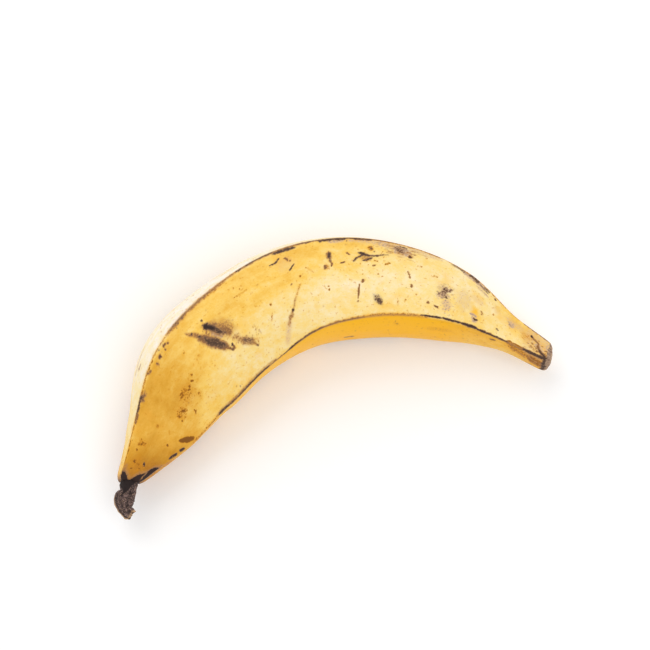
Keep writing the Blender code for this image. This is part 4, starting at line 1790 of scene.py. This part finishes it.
@dataclass
class BlossomRemnant:
    """The dried remains of the flower at the fruit's tip: a pleated tube with a torn lip.

    Places across it are shares of its half width, outwards, and those along it are shares
    of its length, or millimetres for the bare point that runs up from its root.
    """

    fitting: Fitting
    rings: int = 74
    around: int = 120
    finish: DriedFlowerFinish = DriedFlowerFinish()

    pleats: int = 5
    pleat_twist: float = 2.2
    pleat_start: float = 0.9
    pleat_depth: float = 0.07
    pleat_edge: Ramp = Ramp(0.2, 1.0)
    pleated: Ramp = Ramp(0.05, 0.4)
    crumple: float = 0.55
    crumple_range: Pair = (0.35, 0.65)
    crumples: Grain = Grain((2.6, 1.6, 1.6), 3.3)
    crust: float = 0.22
    crusts: Grain = Grain((1.0, 0.8, 0.8), 8.8)

    tear: float = 1.6
    tears: Grain = Grain((40.0, 1.8, 1.8), 5.1)
    torn_end: Ramp = Ramp(0.75, 1.0)
    hollow_rings: int = 14
    hollow_depth: float = 3.0
    hollow_power: float = 1.6
    root_rings: int = 3
    root_size: float = 0.7

    border_side: Ramp = Ramp(0.80, 0.97)
    border_reach: Ramp = Ramp(0.45, 0.6)
    edge_reach: Ramp = Ramp(0.93, 1.0)
    edge_wobble: float = 0.05
    point_aside: float = 0.18
    point_length: float = 8.9
    point_width: float = 1.2
    point_wobble: float = 0.9
    point_edge: Ramp = Ramp(-0.4, 0.5)
    seam_width: float = 0.11
    seam_wobble: float = 0.2
    inside_painted_shade: float = 1.2

    def dry_layer(self, skin: Skin, far: Array, crease: Array, torn: Array) -> Array:
        """Return the dried flower's attribute: its folds and the groove down it, darkened with painted
        shade, its pale edges and its bare root.

        Args:
            skin: the remnant's skin.
            far: how far out each row lies, from 0 at the root to 1 at the lip.
            crease: how deep each point lies in a pleat.
            torn: noise that runs along the flower.

        Returns:
            Three numbers for each point.
        """
        outer = skin.out / skin.half_width[:, None]
        border = self.border_side.at(outer) * self.border_reach.at(far)
        edge = np.maximum(self.edge_reach.at(far + self.edge_wobble * torn), border)
        aside = np.abs(outer - self.point_aside)
        point = self.point_length * (1 - aside / self.point_width)
        rooted = 1 - self.point_edge.at(skin.at[:, None] + self.point_wobble * torn - point)
        # A dark line down the flower: painted shade of its groove.
        along_seam = (outer - self.point_aside + self.seam_wobble * torn) / self.seam_width
        return vectors(np.maximum(crease, np.exp(-along_seam ** 2)), edge, rooted)

    def build(self) -> bpy.types.Object:
        """Build the dried flower.

        Returns:
            The finished piece.
        """
        form = self.fitting.form
        length = form.knots(REMNANT_STATIONS)[-1]
        at = np.linspace(0.0, length, self.rings)
        skin = Skin(form, REMNANT_STATIONS, at, np.linspace(0.0, FACES, self.around + 1))
        grown = skin.grown()
        far = (skin.at / length)[:, None]
        fold = np.cos(self.pleats * skin.angle + self.pleat_twist * far + self.pleat_start)
        crease = self.pleat_edge.at(fold)
        low, more = self.crumple_range
        lift = self.crumple * self.crumples.at(grown) * (low + more * far)
        lift = lift - self.pleat_depth * skin.radius * crease * self.pleated.at(far)
        lift = lift + self.crust * self.crusts.at(grown)
        torn = self.tears.at(grown)
        body = self.fitting.placed(skin.points(lift, self.tear * torn * self.torn_end.at(far)))

        root = shrunk(body[0], np.linspace(0.0, self.root_size, self.root_rings))
        shares = np.linspace(0.0, 1.0, self.hollow_rings + 1)[1:]
        depth = self.hollow_depth * np.sin(shares * np.pi / 2)
        axis = np.array((*skin.course[-1], 0.0))
        inside = shrunk(body[-1], 1 - shares ** self.hollow_power) - depth[:, None, None] * axis
        ones = np.ones(root.shape[:2])
        # Painted shade: the inside of the hollow is darkened all over.
        dark = vectors(np.full(inside.shape[:2], self.inside_painted_shade))
        dry = self.dry_layer(skin, far, crease, torn)
        ends = [np.repeat(grown[row][None], len(part), axis=0) for row, part in ((0, root), (-1, inside))]
        layers = {
            "grown": np.concatenate((ends[0], grown, ends[1])) * MM,
            "dry": np.concatenate((vectors(ones, 0.0, ones), dry, dark)),
        }
        points = np.concatenate((root, body, inside))
        return piece_from(wrapped_grid(points, layers), "blossom_remnant", self.finish.material())


# ---------------------------------------------------------------- the studio


@dataclass
class Studio:
    """The floor, the soft lights and the camera."""

    floor_size: float = 3.0
    floor_squares: int = 4
    sky: float = 0.72
    light_size: float = 1.4
    key_watts: float = 9.0
    key_place: Size = (-0.25, 1.1, 1.25)
    fill_watts: float = 6.0
    fill_place: Size = (0.5, -0.9, 1.3)
    aim: Size = (0.01108, 0.00532, 0.0217)
    azimuth: float = -20.4
    elevation: float = 75.5
    distance: float = 0.714
    lens: float = 85.0
    sensor: float = 36.0

    def floor(self) -> None:
        """Lay the floor."""
        bm = bmesh.new()
        squares = self.floor_squares
        bmesh.ops.create_grid(bm, x_segments=squares, y_segments=squares, size=self.floor_size)
        mesh = bpy.data.meshes.new("floor")
        bm.to_mesh(mesh)
        bm.free()
        mesh.materials.append(FloorFinish().material())
        floor = bpy.data.objects.new("floor", mesh)
        bpy.context.scene.collection.objects.link(floor)

    def softbox(self, name: str, place: Size, watts: float) -> None:
        """Hang one soft light that faces the fruit.

        Args:
            name: the light's name.
            place: where it hangs.
            watts: its power.
        """
        light = bpy.data.lights.new(name, "AREA")
        light.energy = watts
        light.shape = "SQUARE"
        light.size = self.light_size
        lamp = bpy.data.objects.new(name, light)
        lamp.location = place
        lamp.rotation_euler = (Vector(self.aim) - Vector(place)).to_track_quat("-Z", "Y").to_euler()
        bpy.context.scene.collection.objects.link(lamp)

    def lights(self) -> None:
        """Light the scene softly from all round, most from behind and above."""
        world = bpy.data.worlds.new("studio")
        world.use_nodes = True
        background = world.node_tree.nodes["Background"]
        background.inputs["Color"].default_value = (1.0, 1.0, 1.0, 1.0)
        background.inputs["Strength"].default_value = self.sky
        bpy.context.scene.world = world
        self.softbox("key", self.key_place, self.key_watts)
        self.softbox("fill", self.fill_place, self.fill_watts)

    def camera(self) -> None:
        """Stand the camera above the fruit."""
        azimuth, elevation = math.radians(self.azimuth), math.radians(self.elevation)
        towards = Vector((math.cos(elevation) * math.sin(azimuth),
                          -math.cos(elevation) * math.cos(azimuth), math.sin(elevation)))
        data = bpy.data.cameras.new("camera")
        data.lens = self.lens
        data.sensor_width = self.sensor
        camera = bpy.data.objects.new("camera", data)
        camera.location = Vector(self.aim) + towards * self.distance
        camera.rotation_euler = (-towards).to_track_quat("-Z", "Y").to_euler()
        bpy.context.scene.collection.objects.link(camera)
        bpy.context.scene.camera = camera

    def set_up(self) -> None:
        """Set up the whole studio."""
        self.floor()
        self.lights()
        self.camera()
        bpy.context.scene.view_settings.view_transform = "Standard"


def main() -> None:
    """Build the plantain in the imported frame."""
    logging.basicConfig(level=logging.INFO, format="%(name)s: %(message)s")
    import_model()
    low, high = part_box("plantain")
    Studio().set_up()
    fitting = Fitting(FruitForm(), low, high)
    for maker in (Peel(fitting), BlossomRemnant(fitting)):
        piece = maker.build()
        LOG.info("%s: %d faces", piece.name, len(piece.data.polygons))


if __name__ == "__main__":
    main()
